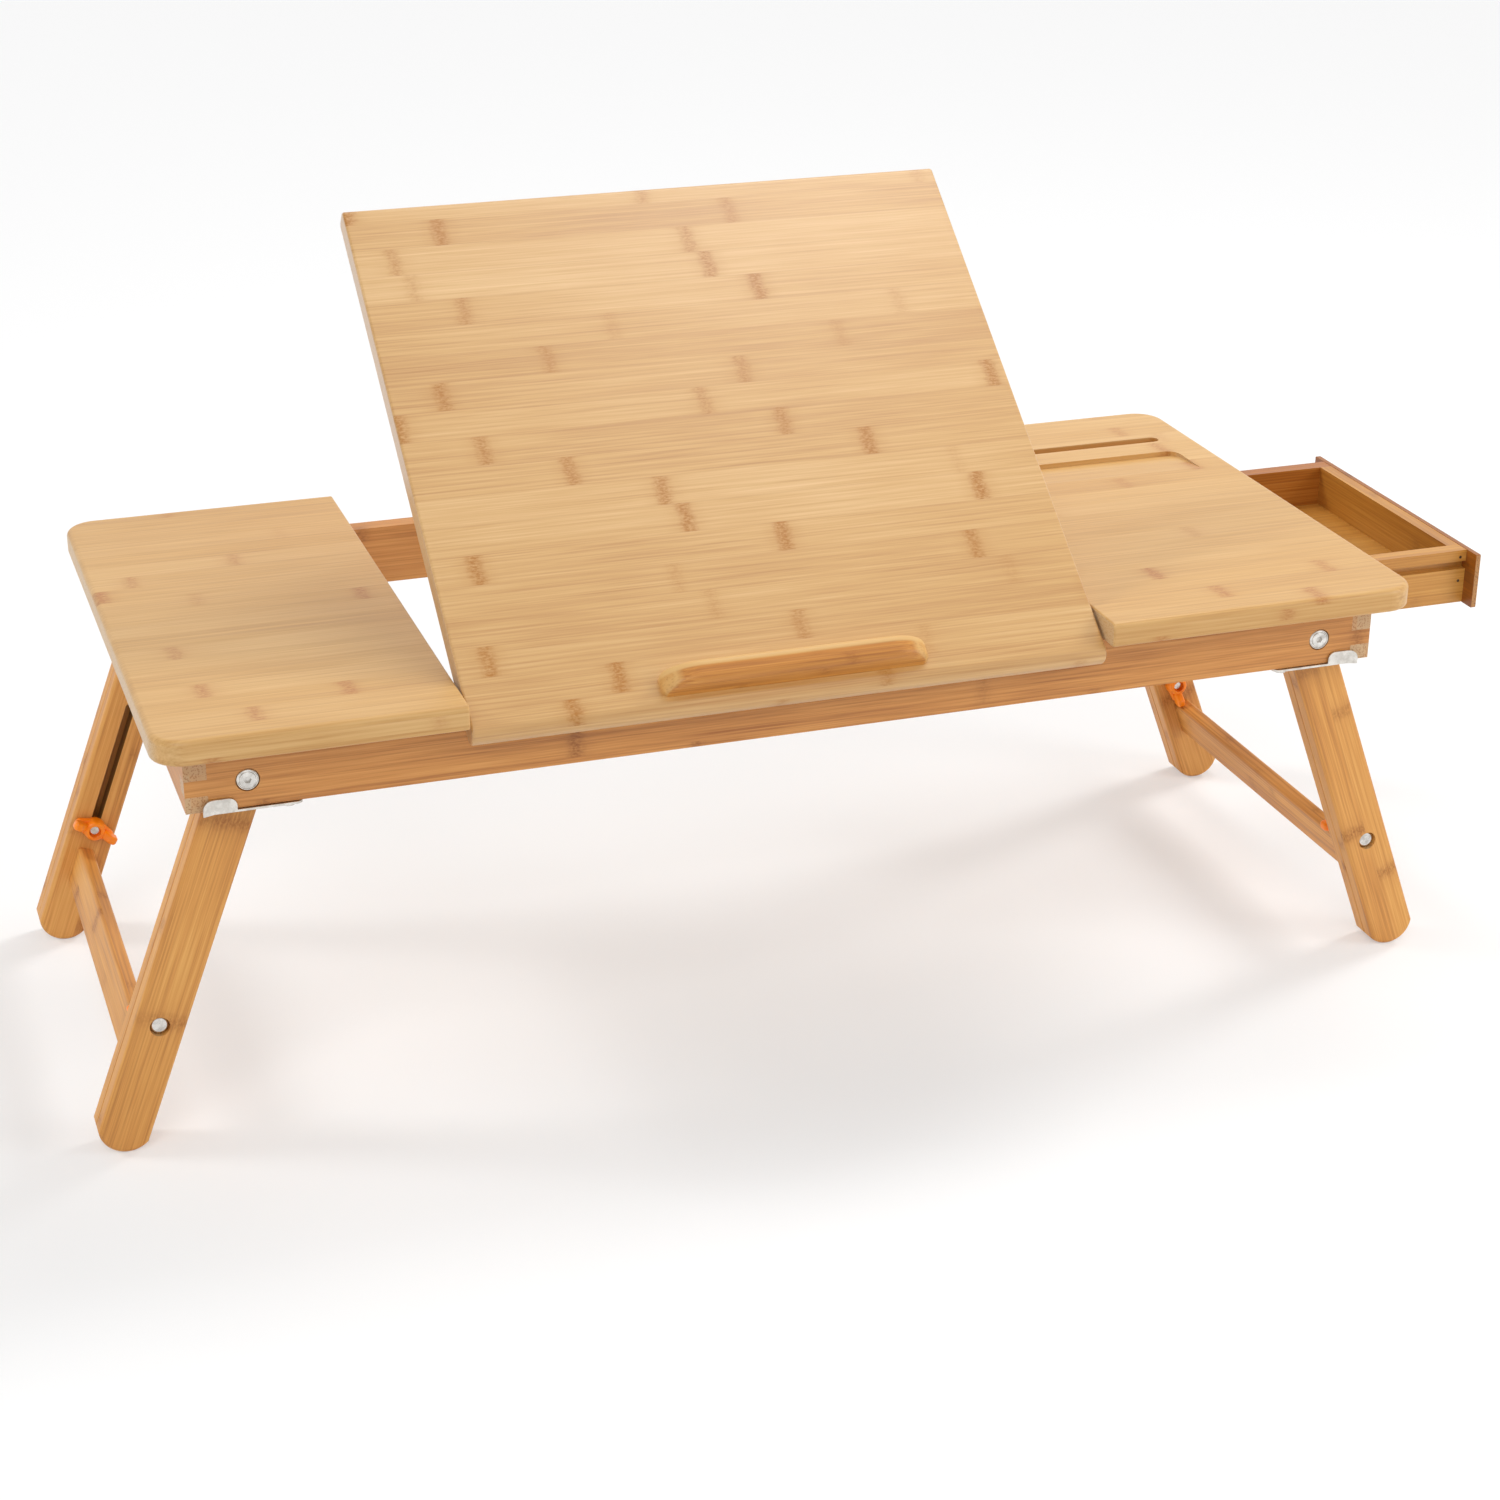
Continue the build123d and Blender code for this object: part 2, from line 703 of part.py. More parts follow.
with BuildPart() as ledge:
    ledge_plane = Plane(
        origin=flap_plane.from_local_coords((0, ledge_u, flap_top)),
        x_dir=(1, 0, 0),
        z_dir=-flap_plane.y_dir,
    )
    crown_x = ledge_len / 2 - ledge_end_run
    end_radii = (ledge_end_run, ledge_h - ledge_end_lip)
    with BuildSketch(ledge_plane):
        with BuildLine():
            right_end = EllipticalCenterArc((crown_x, ledge_end_lip), *end_radii, start_angle=0)
            left_end = EllipticalCenterArc((-crown_x, ledge_end_lip), *end_radii, start_angle=90)
            Line(right_end @ 1, left_end @ 0)
            Polyline(left_end @ 1, (-ledge_len / 2, 0), (ledge_len / 2, 0), right_end @ 0)
        make_face()
    extrude(amount=-ledge_w)
    up = Axis(flap_plane.origin, flap_plane.z_dir)
    crown = ledge.edges().filter_by(Axis.X).group_by(up)[-1]
    fillet(crown, ledge_edge_r)
    for at in ledge_dowels_at:
        add(
            cylinder(flap_plane, at, flap_top, flap_top + ledge_dowel_depth, ledge_dowel_r + screw_clear),
            mode=Mode.SUBTRACT,
        )
ledge.part.label = "ledge"
export_step(ledge.part, "parts/ledge.step")

with BuildPart() as ledge_dowels:
    for at in ledge_dowels_at:
        add(
            cylinder(
                flap_plane, at, flap_top - ledge_dowel_depth, flap_top + ledge_dowel_depth, ledge_dowel_r
            )
        )
ledge_dowels.part.label = "ledge_dowels"
export_step(ledge_dowels.part, "parts/ledge_dowels.step")

for side, sx in SIDES:
    inner, outer = hinge_pin_ends(sx)
    with BuildPart() as hinge_pin:
        add(cylinder(end_plane(inner), (hinge_y, hinge_z), 0, outer - inner, hinge_pin_r))
    hinge_pin.part.label = f"flap_hinge_pin_{side}"
    export_step(hinge_pin.part, f"parts/flap_hinge_pin_{side}.step")

# Brackets that hold the prop's bent ends against the flap's underside
bracket_low = bail_n - bail_wire_r - run_clear - bracket_wall
for (side, sx), x in zip(SIDES, bracket_at):
    with BuildPart() as bracket:
        with BuildSketch(flap_plane.offset(flap_low)):
            with Locations((x, bail_u)):
                Rectangle(bracket_w, bracket_len)
        extrude(amount=-bracket_t)
        with BuildSketch(flap_plane.offset(flap_low)):
            with Locations((x, bail_u)):
                Rectangle(bracket_w, bracket_hump)
        extrude(amount=bracket_low - flap_low)
        bore_plane = Plane(
            origin=flap_plane.from_local_coords((x - bracket_w / 2, bail_u, bail_n)), z_dir=(1, 0, 0)
        )
        add(cylinder(bore_plane, (0, 0), 0, bracket_w, bail_wire_r + run_clear), mode=Mode.SUBTRACT)
        for at in bracket_screw_places:
            add(
                cylinder(flap_plane, at, flap_low, flap_low - bracket_t, screw_r + screw_clear),
                mode=Mode.SUBTRACT,
            )
    bracket.part.label = f"prop_bracket_{side}"
    export_step(bracket.part, f"parts/prop_bracket_{side}.step")

with BuildPart() as bracket_screws:
    for at in bracket_screw_places:
        add(wood_screw(flap_plane, at, bracket_screw_head, bracket_screw_tip))
bracket_screws.part.label = "bracket_screws"
export_step(bracket_screws.part, "parts/bracket_screws.step")

# Wire prop
foot_y, foot_z = foot_point(flap_tilt)
bail_top = flap_plane.from_local_coords((0, bail_u, bail_n))
bail_way = Vector(0, foot_y - bail_top.Y, foot_z - bail_top.Z).normalized()
bail_plane = Plane(origin=bail_top, x_dir=(1, 0, 0), z_dir=(0, -bail_way.Z, bail_way.Y))
half_bail = bail_span / 2
with BuildPart() as prop_bail:
    with BuildLine(bail_plane) as bail_path:
        FilletPolyline(
            (-half_bail - bail_stub, 0),
            (-half_bail, 0),
            (-half_bail, bail_reach),
            (half_bail, bail_reach),
            (half_bail, 0),
            (half_bail + bail_stub, 0),
            radius=bail_bend_r,
        )
    with BuildSketch(Plane(origin=bail_path.line @ 0, z_dir=bail_path.line % 0)):
        Circle(bail_wire_r)
    sweep(path=bail_path.line)
prop_bail.part.label = "prop_bail"
export_step(prop_bail.part, "parts/prop_bail.step")

# Notched rack on the back rail, with one notch for each tilt of the flap
rack_y0 = foot_y - rack_front_land
rack_y1 = foot_point(0)[0] + rack_back_land
notch_half = bail_wire_r + slide_clear
notch_ramp = notch_pitch - 2 * notch_half - tooth_land
rack_top = [(rack_y0, tip_z(rack_y0))]
for i in range(notch_count):
    y = foot_y + i * notch_pitch
    rack_top += [
        (y - notch_half - notch_ramp, tip_z(y - notch_half - notch_ramp)),
        (y - notch_half, tip_z(y) - notch_depth),
        (y + notch_half, tip_z(y) - notch_depth),
        (y + notch_half, tip_z(y + notch_half)),
    ]
rack_base = tip_z(rack_y1) - rack_body_t
with BuildPart() as prop_rack:
    with BuildSketch(end_plane(flap_mid - rack_w / 2)):
        with BuildLine():
            Polyline(
                *rack_top,
                (rack_y1, tip_z(rack_y1)),
                (rack_y1 + rack_joggle, rack_seat + rack_t),
                (back_in + rack_rail_lap, rack_seat + rack_t),
                (back_in + rack_rail_lap, rack_seat),
                (rack_y1 + 2 * rack_joggle, rack_seat),
                (rack_y1 + rack_joggle, rack_base),
                (rack_y0, rack_base),
                close=True,
            )
        make_face()
    extrude(amount=rack_w)
    for sx in (-1, 1):
        at = (flap_mid + sx * rack_screw_pitch / 2, rack_screw_y)
        add(screw_hole(Plane.XY, at, rack_seat + rack_t, rack_seat - screw_bite), mode=Mode.SUBTRACT)
prop_rack.part.label = "prop_rack"
export_step(prop_rack.part, "parts/prop_rack.step")

with BuildPart() as rack_screws:
    for sx in (-1, 1):
        at = (flap_mid + sx * rack_screw_pitch / 2, rack_screw_y)
        add(wood_screw(Plane.XY, at, rack_seat + rack_t, rack_seat - screw_bite))
rack_screws.part.label = "rack_screws"
export_step(rack_screws.part, "parts/rack_screws.step")


# Legs
def foot_end():
    """Arched end of a leg board at the floor."""
    ThreePointArc((half_leg, -foot_corner), (0, -foot_reach), (-half_leg, -foot_corner))


def leg_outline():
    """Plan of an outer leg board from its round head on the pivot to its arched foot."""
    with BuildSketch(mode=Mode.PRIVATE) as plan:
        with BuildLine():
            Line((half_leg, 0), (half_leg, -foot_corner))
            foot_end()
            Line((-half_leg, -foot_corner), (-half_leg, 0))
            ThreePointArc((-half_leg, 0), (0, half_leg), (half_leg, 0))
        make_face()
    return plan.sketch


def slider_outline():
    """Plan of a sliding leg board from its square top under the pivot to its arched foot."""
    with BuildSketch(mode=Mode.PRIVATE) as plan:
        with BuildLine():
            Line((half_leg, -slider_drop), (half_leg, -foot_corner))
            foot_end()
            Line((-half_leg, -foot_corner), (-half_leg, -slider_drop))
            Line((-half_leg, -slider_drop), (half_leg, -slider_drop))
        make_face()
        fillet(plan.vertices().sort_by(Axis.Y)[-2:], slider_corner_r)
    return plan.sketch


stretcher_mid = lock_reach + wing_r + wing_clear + stretcher_w / 2
stretcher_at = (stretcher_shift, -stretcher_mid)
stretcher_screw_tip = leg_t + 2 * screw_bite

for corner, sx, sy in CORNERS:
    inward = sx * sy
    outer_plane = leg_plane(sx, sy, leg_face)
    with BuildPart() as leg_outer:
        with BuildSketch(outer_plane):
            add(leg_outline())
            Circle(pivot_bolt_r + run_clear, mode=Mode.SUBTRACT)
        extrude(amount=inward * leg_t)
        outer_face = leg_outer.faces().filter_by(Axis.Y).sort_by(Axis.Y, reverse=sy > 0)[0]
        fillet(outer_face.outer_wire().edges(), leg_edge_r)
        seam_face = leg_outer.faces().filter_by(Axis.Y).sort_by(Axis.Y, reverse=sy < 0)[0]
        fillet(seam_face.outer_wire().edges(), leg_seam_r)
        lock_at = (0, -lock_reach)
        counterbore = cylinder(outer_plane, lock_at, 0, inward * lock_sink, lock_hole_r)
        add(counterbore, mode=Mode.SUBTRACT)
        bolt_hole = cylinder(outer_plane, lock_at, 0, inward * leg_t, lock_bolt_r + run_clear)
        add(bolt_hole, mode=Mode.SUBTRACT)
    leg_outer.part.label = f"leg_outer_{corner}"
    export_step(leg_outer.part, f"parts/leg_outer_{corner}.step")

    slider_plane = leg_plane(sx, sy, slider_face)
    with BuildPart() as leg_inner:
        with BuildSketch(slider_plane):
            add(slider_outline())
            with Locations((0, -lock_reach + leg_travel / 2)):
                SlotCenterToCenter(leg_travel, leg_slot_w, rotation=90, mode=Mode.SUBTRACT)
        extrude(amount=inward * leg_t)
        inner_face = leg_inner.faces().filter_by(Axis.Y).sort_by(Axis.Y, reverse=sy < 0)[0]
        fillet(inner_face.outer_wire().edges(), leg_edge_r)
        seam_face = leg_inner.faces().filter_by(Axis.Y).sort_by(Axis.Y, reverse=sy > 0)[0]
        fillet(seam_face.outer_wire().edges(), leg_seam_r)
        add(
            screw_hole(slider_plane, stretcher_at, inward * screw_clear, inward * stretcher_screw_tip),
            mode=Mode.SUBTRACT,
        )
    leg_inner.part.label = f"leg_inner_{corner}"
    export_step(leg_inner.part, f"parts/leg_inner_{corner}.step")

# Stretchers between the sliding boards of one side
for side, sx in SIDES:
    with BuildPart() as stretcher:
        with BuildSketch(leg_plane(sx, -1, slider_back)):
            with Locations(stretcher_at):
                RectangleRounded(stretcher_t, stretcher_w, stretcher_corner_r)
        extrude(amount=-sx * 2 * slider_back)
        for sy in (-1, 1):
            plane = leg_plane(sx, sy, slider_face)
            hole = screw_hole(plane, stretcher_at, sx * sy * screw_clear, sx * sy * stretcher_screw_tip)
            add(hole, mode=Mode.SUBTRACT)
    stretcher.part.label = f"stretcher_{side}"
    export_step(stretcher.part, f"parts/stretcher_{side}.step")

    with BuildPart() as stretcher_screws:
        for sy in (-1, 1):
            plane = leg_plane(sx, sy, slider_face)
            add(wood_screw(plane, stretcher_at, sx * sy * screw_clear, sx * sy * stretcher_screw_tip))
    stretcher_screws.part.label = f"stretcher_screws_{side}"
    export_step(stretcher_screws.part, f"parts/stretcher_screws_{side}.step")

# Leg pivots: a bolt through the rail and the outer board, with a flange at its inner end
flange_at = rail_t + leg_gap + leg_t + slide_clear
for corner, sx, sy in CORNERS:
    plane = bolt_plane(mid_x + sx * pivot_reach, pivot_z, sy, rail_y)
    with BuildPart() as pivot_bolt:
        with BuildSketch(plane):
            with BuildLine():
                Polyline(
                    (0, 0),
                    (0, pivot_disc_r),
                    (pivot_groove_depth, pivot_disc_r + pivot_groove_slope),
                    (pivot_groove_depth, pivot_disc_r + pivot_groove_slope + pivot_groove_w),
                    (0, pivot_disc_r + 2 * pivot_groove_slope + pivot_groove_w),
                    (0, pivot_head_r - pivot_head_chamfer),
                    (pivot_head_chamfer, pivot_head_r),
                    (pivot_head_h, pivot_head_r),
                    (pivot_head_h, pivot_bolt_r),
                    (flange_at, pivot_bolt_r),
                    (flange_at, pivot_flange_r),
                    (flange_at + pivot_flange_h, pivot_flange_r),
                    (flange_at + pivot_flange_h, 0),
                    close=True,
                )
            make_face()
        revolve(axis=Axis(plane.origin, plane.x_dir))
        with BuildSketch(Plane(origin=plane.origin, x_dir=(1, 0, 0), z_dir=(0, -sy, 0))):
            RegularPolygon(pivot_socket_r, 6)
        extrude(amount=pivot_socket_depth, mode=Mode.SUBTRACT)
    pivot_bolt.part.label = f"pivot_bolt_{corner}"
    export_step(pivot_bolt.part, f"parts/pivot_bolt_{corner}.step")

with BuildPart() as pivot_washers:
    for corner, sx, sy in CORNERS:
        washer_at = (mid_x + sx * pivot_reach, frame_y + sy * rail_in, pivot_z)
        with BuildSketch(Plane(origin=washer_at, z_dir=(0, -sy, 0))):
            Circle(washer_r)
            Circle(pivot_bolt_r + run_clear, mode=Mode.SUBTRACT)
        extrude(amount=leg_gap - washer_play)
pivot_washers.part.label = "pivot_washers"
export_step(pivot_washers.part, "parts/pivot_washers.step")


# Lock bolts with a sunk head, and the wing nuts that clamp the sliding boards
def wing(nut_plane, turn):
    """One wing of a nut, turned about the nut's axis from the X axis."""
    way = Vector(cos(turn), 0, sin(turn))
    with BuildPart(mode=Mode.PRIVATE) as solid:
        plane = Plane(origin=nut_plane.origin, x_dir=way, z_dir=way.cross(nut_plane.x_dir))
        with BuildSketch(plane) as side_view:
            with BuildLine():
                Polyline(
                    (wing_root_r, nut_skirt_h),
                    (nut_base_r, nut_skirt_h),
                    (wing_r, wing_waist_h),
                    (wing_r, wing_h),
                    (wing_inner_r, wing_h),
                    (wing_root_r, wing_root_h),
                    close=True,
                )
            make_face()
            fillet(side_view.vertices().sort_by(Axis.X)[-3:], wing_tip_r)
        extrude(amount=wing_t / 2, both=True)
        broad = solid.faces().sort_by(Axis(plane.origin, plane.z_dir))
        fillet(broad[0].edges() + broad[-1].edges(), wing_edge_r)
    return solid.part


def wing_web(nut_plane, turn):
    """Leaf-shaped web round a nut's hub that joins its two wings."""
    way = Vector(cos(turn), 0, sin(turn))
    plane = Plane(origin=nut_plane.origin, x_dir=way, z_dir=nut_plane.x_dir)
    with BuildPart(mode=Mode.PRIVATE) as web:
        with BuildSketch(plane.offset(nut_skirt_h)) as leaf:
            Circle(web_r)
            with Locations((web_reach, 0), (-web_reach, 0)):
                Circle(web_tip_r)
            make_hull(leaf.edges())
        extrude(amount=web_t)
        fillet(web.faces().sort_by(Axis(plane.origin, plane.z_dir))[-1].edges(), wing_edge_r)
        add(cylinder(plane, (0, 0), 0, nut_h, lock_bolt_r + run_clear), mode=Mode.SUBTRACT)
    return web.part


nut_face = slider_back - slide_clear
lock_tip = leg_face - nut_face + lock_bolt_in_nut
for corner, sx, sy in CORNERS:
    lock_x, lock_z = lock_point(sx)
    plane = bolt_plane(lock_x, lock_z, sy, leg_face)
    head_at = lock_sink - lock_head_h
    lock_head_flat = lock_head_r - lock_head_edge
    lock_head_mitre = lock_head_edge * (1 - cos(pi / 4))
    with BuildPart() as lock_bolt:
        with BuildSketch(plane):
            with BuildLine():
                Polyline((lock_tip, 0), (head_at, 0), (head_at, lock_head_flat))
                ThreePointArc(
                    (head_at, lock_head_flat),
                    (head_at + lock_head_mitre, lock_head_r - lock_head_mitre),
                    (head_at + lock_head_edge, lock_head_r),
                )
                Polyline(
                    (head_at + lock_head_edge, lock_head_r),
                    (lock_sink, lock_head_r),
                    (lock_sink, lock_bolt_r),
                    (lock_tip, lock_bolt_r),
                    (lock_tip, 0),
                )
            make_face()
        revolve(axis=Axis(plane.origin, plane.x_dir))
    lock_bolt.part.label = f"lock_bolt_{corner}"
    export_step(lock_bolt.part, f"parts/lock_bolt_{corner}.step")

    nut_plane = bolt_plane(lock_x, lock_z, sy, nut_face)
    turn = radians(wing_turn[corner])
    with BuildPart() as wing_nut:
        with BuildSketch(nut_plane):
            with BuildLine():
                Polyline(
                    (0, lock_bolt_r + run_clear),
                    (0, nut_base_r),
                    (nut_skirt_h, nut_base_r),
                    (nut_h - nut_rim, nut_top_r),
                    (nut_h, nut_top_r - nut_rim),
                    (nut_h, nut_mouth_r),
                    (nut_h - nut_mouth_depth, nut_mouth_r),
                    (nut_h - nut_mouth_depth, lock_bolt_r + run_clear),
                    close=True,
                )
            make_face()
        revolve(axis=Axis(nut_plane.origin, nut_plane.x_dir))
        add(wing_web(nut_plane, turn))
        for way in (0, pi):
            add(wing(nut_plane, turn + way))
    wing_nut.part.label = f"wing_nut_{corner}"
    export_step(wing_nut.part, f"parts/wing_nut_{corner}.step")

# Spring latches: a strip under the rail, a flange on its face and a flare to push with a finger
flange_z = rail_low + latch_flange_h
flange_in = latch_start + latch_flange_len
flare_end = latch_start - latch_flare
strip_top = rail_low - slide_clear
strip_low = strip_top - latch_t
tongue_o = -rail_t - leg_gap + latch_tongue_short


def latch_spot(sx, sy, d, o):
    """X and Y of a place d in from a rail's end and o out from its outer face."""
    return mid_x + sx * (rail_end - d), frame_y + sy * (rail_y + o)


def flange_corner(sx, d, way):
    """Waste outside a rounded upper corner of a latch's flange, which lies on one way of d."""
    r = latch_flange_r
    mitre = r * (1 - cos(pi / 4))
    outline = [(d - way * r, flange_z - r), (d - way * r, flange_z + r), (d + way * r, flange_z + r)]
    arc = [(d + way * r, flange_z), (d + way * mitre, flange_z - mitre), (d, flange_z - r)]
    outline = [(sx * (rail_end - x), z) for x, z in outline]
    arc = [(sx * (rail_end - x), z) for x, z in arc]
    with BuildPart(mode=Mode.PRIVATE) as waste:
        with BuildSketch(face_plane(0)):
            with BuildLine():
                ThreePointArc(*arc)
                Polyline(arc[-1], *outline, arc[0])
            make_face()
        extrude(amount=top_depth, both=True)
    return waste.part


for corner, sx, sy in CORNERS:
    strip_plan = [
        (latch_start, slide_clear + latch_t),
        (latch_end, slide_clear + latch_t),
        (latch_end, -latch_depth),
        (latch_tongue_at + latch_tongue_w, -latch_depth),
        (latch_tongue_at + latch_tongue_w, tongue_o),
        (latch_tongue_at, tongue_o),
        (latch_tongue_at, -latch_depth),
        (latch_start, -latch_depth),
    ]
    flange_plan = [
        (flange_in, slide_clear),
        (flange_in, slide_clear + latch_t),
        (latch_start, slide_clear + latch_t),
        (flare_end, slide_clear + latch_t + latch_flare_out),
        (flare_end, slide_clear + latch_flare_out),
        (latch_start, slide_clear),
    ]
    with BuildPart() as latch:
        with BuildSketch(Plane.XY.offset(strip_low)) as strip:
            with BuildLine():
                Polyline(*[latch_spot(sx, sy, d, o) for d, o in strip_plan], close=True)
            make_face()
            fillet(strip.vertices().sort_by(Axis.X, reverse=sx > 0)[-2:], latch_end_r)
        extrude(amount=latch_t)
        with BuildSketch(Plane.XY.offset(strip_low)):
            with BuildLine():
                Polyline(*[latch_spot(sx, sy, d, o) for d, o in flange_plan], close=True)
            make_face()
        extrude(amount=flange_z - strip_low)
        add(flange_corner(sx, flange_in, -1), mode=Mode.SUBTRACT)
        add(flange_corner(sx, flare_end, 1), mode=Mode.SUBTRACT)
        add(
            cylinder(Plane.XY, latch_point(sx, sy), strip_low, strip_top, screw_r + run_clear),
            mode=Mode.SUBTRACT,
        )
    latch.part.label = f"latch_{corner}"
    export_step(latch.part, f"parts/latch_{corner}.step")

with BuildPart() as latch_screws:
    for corner, sx, sy in CORNERS:
        add(wood_screw(Plane.XY, latch_point(sx, sy), latch_head, latch_tip))
latch_screws.part.label = "latch_screws"
export_step(latch_screws.part, "parts/latch_screws.step")
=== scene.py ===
"""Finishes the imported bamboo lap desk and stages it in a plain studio."""

import json
import logging
import math
from dataclasses import dataclass, replace
from enum import Enum
from typing import Any

import bpy
from mathutils import Euler, Matrix, Vector


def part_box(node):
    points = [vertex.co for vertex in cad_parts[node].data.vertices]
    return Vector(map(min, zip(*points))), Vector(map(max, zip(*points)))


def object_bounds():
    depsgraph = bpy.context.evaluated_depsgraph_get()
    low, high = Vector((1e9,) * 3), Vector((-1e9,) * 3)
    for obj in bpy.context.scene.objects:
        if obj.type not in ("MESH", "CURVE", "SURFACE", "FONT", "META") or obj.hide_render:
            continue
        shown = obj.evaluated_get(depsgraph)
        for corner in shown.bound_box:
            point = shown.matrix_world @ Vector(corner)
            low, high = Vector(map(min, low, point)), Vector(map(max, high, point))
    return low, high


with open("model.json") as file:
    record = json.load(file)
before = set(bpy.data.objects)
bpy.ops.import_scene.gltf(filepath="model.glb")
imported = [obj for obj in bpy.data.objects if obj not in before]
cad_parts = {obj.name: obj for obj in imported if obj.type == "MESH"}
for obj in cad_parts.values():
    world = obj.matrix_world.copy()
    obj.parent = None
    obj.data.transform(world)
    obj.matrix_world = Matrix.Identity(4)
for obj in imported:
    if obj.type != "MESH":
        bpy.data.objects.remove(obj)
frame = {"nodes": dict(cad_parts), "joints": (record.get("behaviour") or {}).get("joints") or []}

CAD_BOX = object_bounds()
MM = 0.001
LOG = logging.getLogger("lap_desk")

Colour = tuple[float, float, float, float]

# Sockets of a Mix node that blends colours, whose names its other kinds share.
MIX_FROM = 6
MIX_TO = 7
MIX_OUT = 2

# Most values of a noise lie between these two.
NOISE_LOW = 0.3
NOISE_HIGH = 0.7

# How far a board's seams and layers are shifted, as shares of a strip and of a layer.
SEAM_SHIFT = 0.31
SEAM_SHIFT_PER_SEED = 0.37
LAYER_SHIFT = 0.47
# How far a strip's streaks, in millimetres, and its joints, in pitches, may be shifted by chance.
STREAK_JUMP_MM = 900.0
JOINT_JUMP = 7.3
# What is added to a board's seed for the draw that makes joints faint or strong.
LUCK_SEED = 3.7
# Places of the dark, middle and pale tones on the ramp of a board's colours.
TONE_DARK = 0.16
TONE_MID = 0.5
TONE_PALE = 0.84


class Across(Enum):
    """Which axis of the grain's frame runs across a board's strips on its broad face."""

    Y = 1
    Z = 2


class Side(Enum):
    """One end of the desk, as the sign of X."""

    LEFT = -1
    RIGHT = 1


def linear(code: str) -> Colour:
    """Turns an sRGB hex colour to linear light.

    Args:
        code: Six hex digits, with or without a leading hash.

    Returns:
        Red, green, blue and an alpha of 1.
    """
    digits = code.lstrip("#")
    parts = [int(digits[i : i + 2], 16) / 255 for i in (0, 2, 4)]
    light = [part / 12.92 if part <= 0.04045 else ((part + 0.055) / 1.055) ** 2.4 for part in parts]
    return (light[0], light[1], light[2], 1.0)


def add_node(
    tree: bpy.types.NodeTree,
    kind: str,
    inputs: dict[int | str, Any] | None = None,
    stops: dict[float, str] | None = None,
    **settings: Any,
) -> bpy.types.Node:
    """Adds one shader node with its settings, values and links.

    Args:
        tree: The tree that the node goes into.
        kind: The node's type, without the ShaderNode prefix.
        inputs: Socket index or name to a value, a socket, or a node whose first output is used.
        stops: For a colour ramp, place along it to sRGB hex colour, from low to high.
        settings: The node's own properties.

    Returns:
        The new node.
    """
    made = tree.nodes.new("ShaderNode" + kind)
    for name, value in settings.items():
        setattr(made, name, value)
    for key, value in (inputs or {}).items():
        if isinstance(value, bpy.types.Node):
            value = value.outputs[0]
        if isinstance(value, bpy.types.NodeSocket):
            tree.links.new(value, made.inputs[key])
        else:
            made.inputs[key].default_value = value
    if stops:
        # A new ramp has two stops, which become the lowest and the highest.
        places = list(stops)
        elements = made.color_ramp.elements
        elements[0].position = places[0]
        elements[1].position = places[-1]
        for place in places[1:-1]:
            elements.new(place)
        for element, colour in zip(elements, stops.values()):
            element.color = linear(colour)
    return made


def new_material(name: str) -> tuple[bpy.types.Material, bpy.types.NodeTree, bpy.types.Node]:
    """Starts an empty material.

    Args:
        name: The material's name.

    Returns:
        The material, its tree and its Principled shader, already wired to the output.
    """
    material = bpy.data.materials.new(name)
    material.use_nodes = True
    tree = material.node_tree
    tree.nodes.clear()
    shader = add_node(tree, "BsdfPrincipled")
    add_node(tree, "OutputMaterial", {"Surface": shader})
    return material, tree, shader


@dataclass(frozen=True)
class GrainFrame:
    """Where a board's grain runs: X along the fibres, and Y or Z across the strips."""

    origin: Vector
    turn: Euler
    across: Across

    def axis(self) -> Vector:
        """The direction of the fibres in the desk's own frame."""
        return self.turn.to_matrix() @ Vector((1, 0, 0))


@dataclass(frozen=True)
class BoardPlace:
    """Sockets that tell where a point lies in a board, in millimetres of the grain's frame.

    Lane counts strips across the board with a fraction, strip is its whole part, and chance is a
    random number that each strip of each layer has to itself.
    """

    tree: bpy.types.NodeTree
    seed: float
    normal: bpy.types.NodeSocket
    local: bpy.types.Node
    along: bpy.types.NodeSocket
    across: bpy.types.NodeSocket
    depth: bpy.types.NodeSocket
    lane: bpy.types.Node
    strip: bpy.types.Node
    chance: bpy.types.Node


@dataclass(frozen=True)
class Patch:
    """A block in the grain's frame, in millimetres, where light or shade is painted into the wood's colour.

    It is painted shade inside a slot, or a painted highlight as a paler band along an edge. Share says how
    much of the colour shows inside the block, and it fades over a short way at the block's sides.
    """

    middle: tuple[float, float, float]
    half: tuple[float, float, float]
    colour: str
    share: float
    fade_mm: float = 0.3

    def mask(self, place: BoardPlace) -> bpy.types.Node:
        """Adds the block's mask.

        Args:
            place: Where a point lies in the board.

        Returns:
            A node whose value is the patch's share inside the block and 0 outside.
        """
        tree = place.tree
        off = add_node(tree, "VectorMath", {0: place.local, 1: self.middle}, operation="SUBTRACT")
        away = add_node(tree, "VectorMath", {0: off}, operation="ABSOLUTE")
        inside = add_node(tree, "VectorMath", {0: self.half, 1: away}, operation="SUBTRACT")
        sides = add_node(tree, "SeparateXYZ", {0: inside}).outputs
        least = add_node(tree, "Math", {0: sides[0], 1: sides[1]}, operation="MINIMUM")
        least = add_node(tree, "Math", {0: least, 1: sides[2]}, operation="MINIMUM")
        return add_node(
            tree, "MapRange", {"Value": least, "From Max": self.fade_mm, "To Min": 0.0, "To Max": self.share}
        )


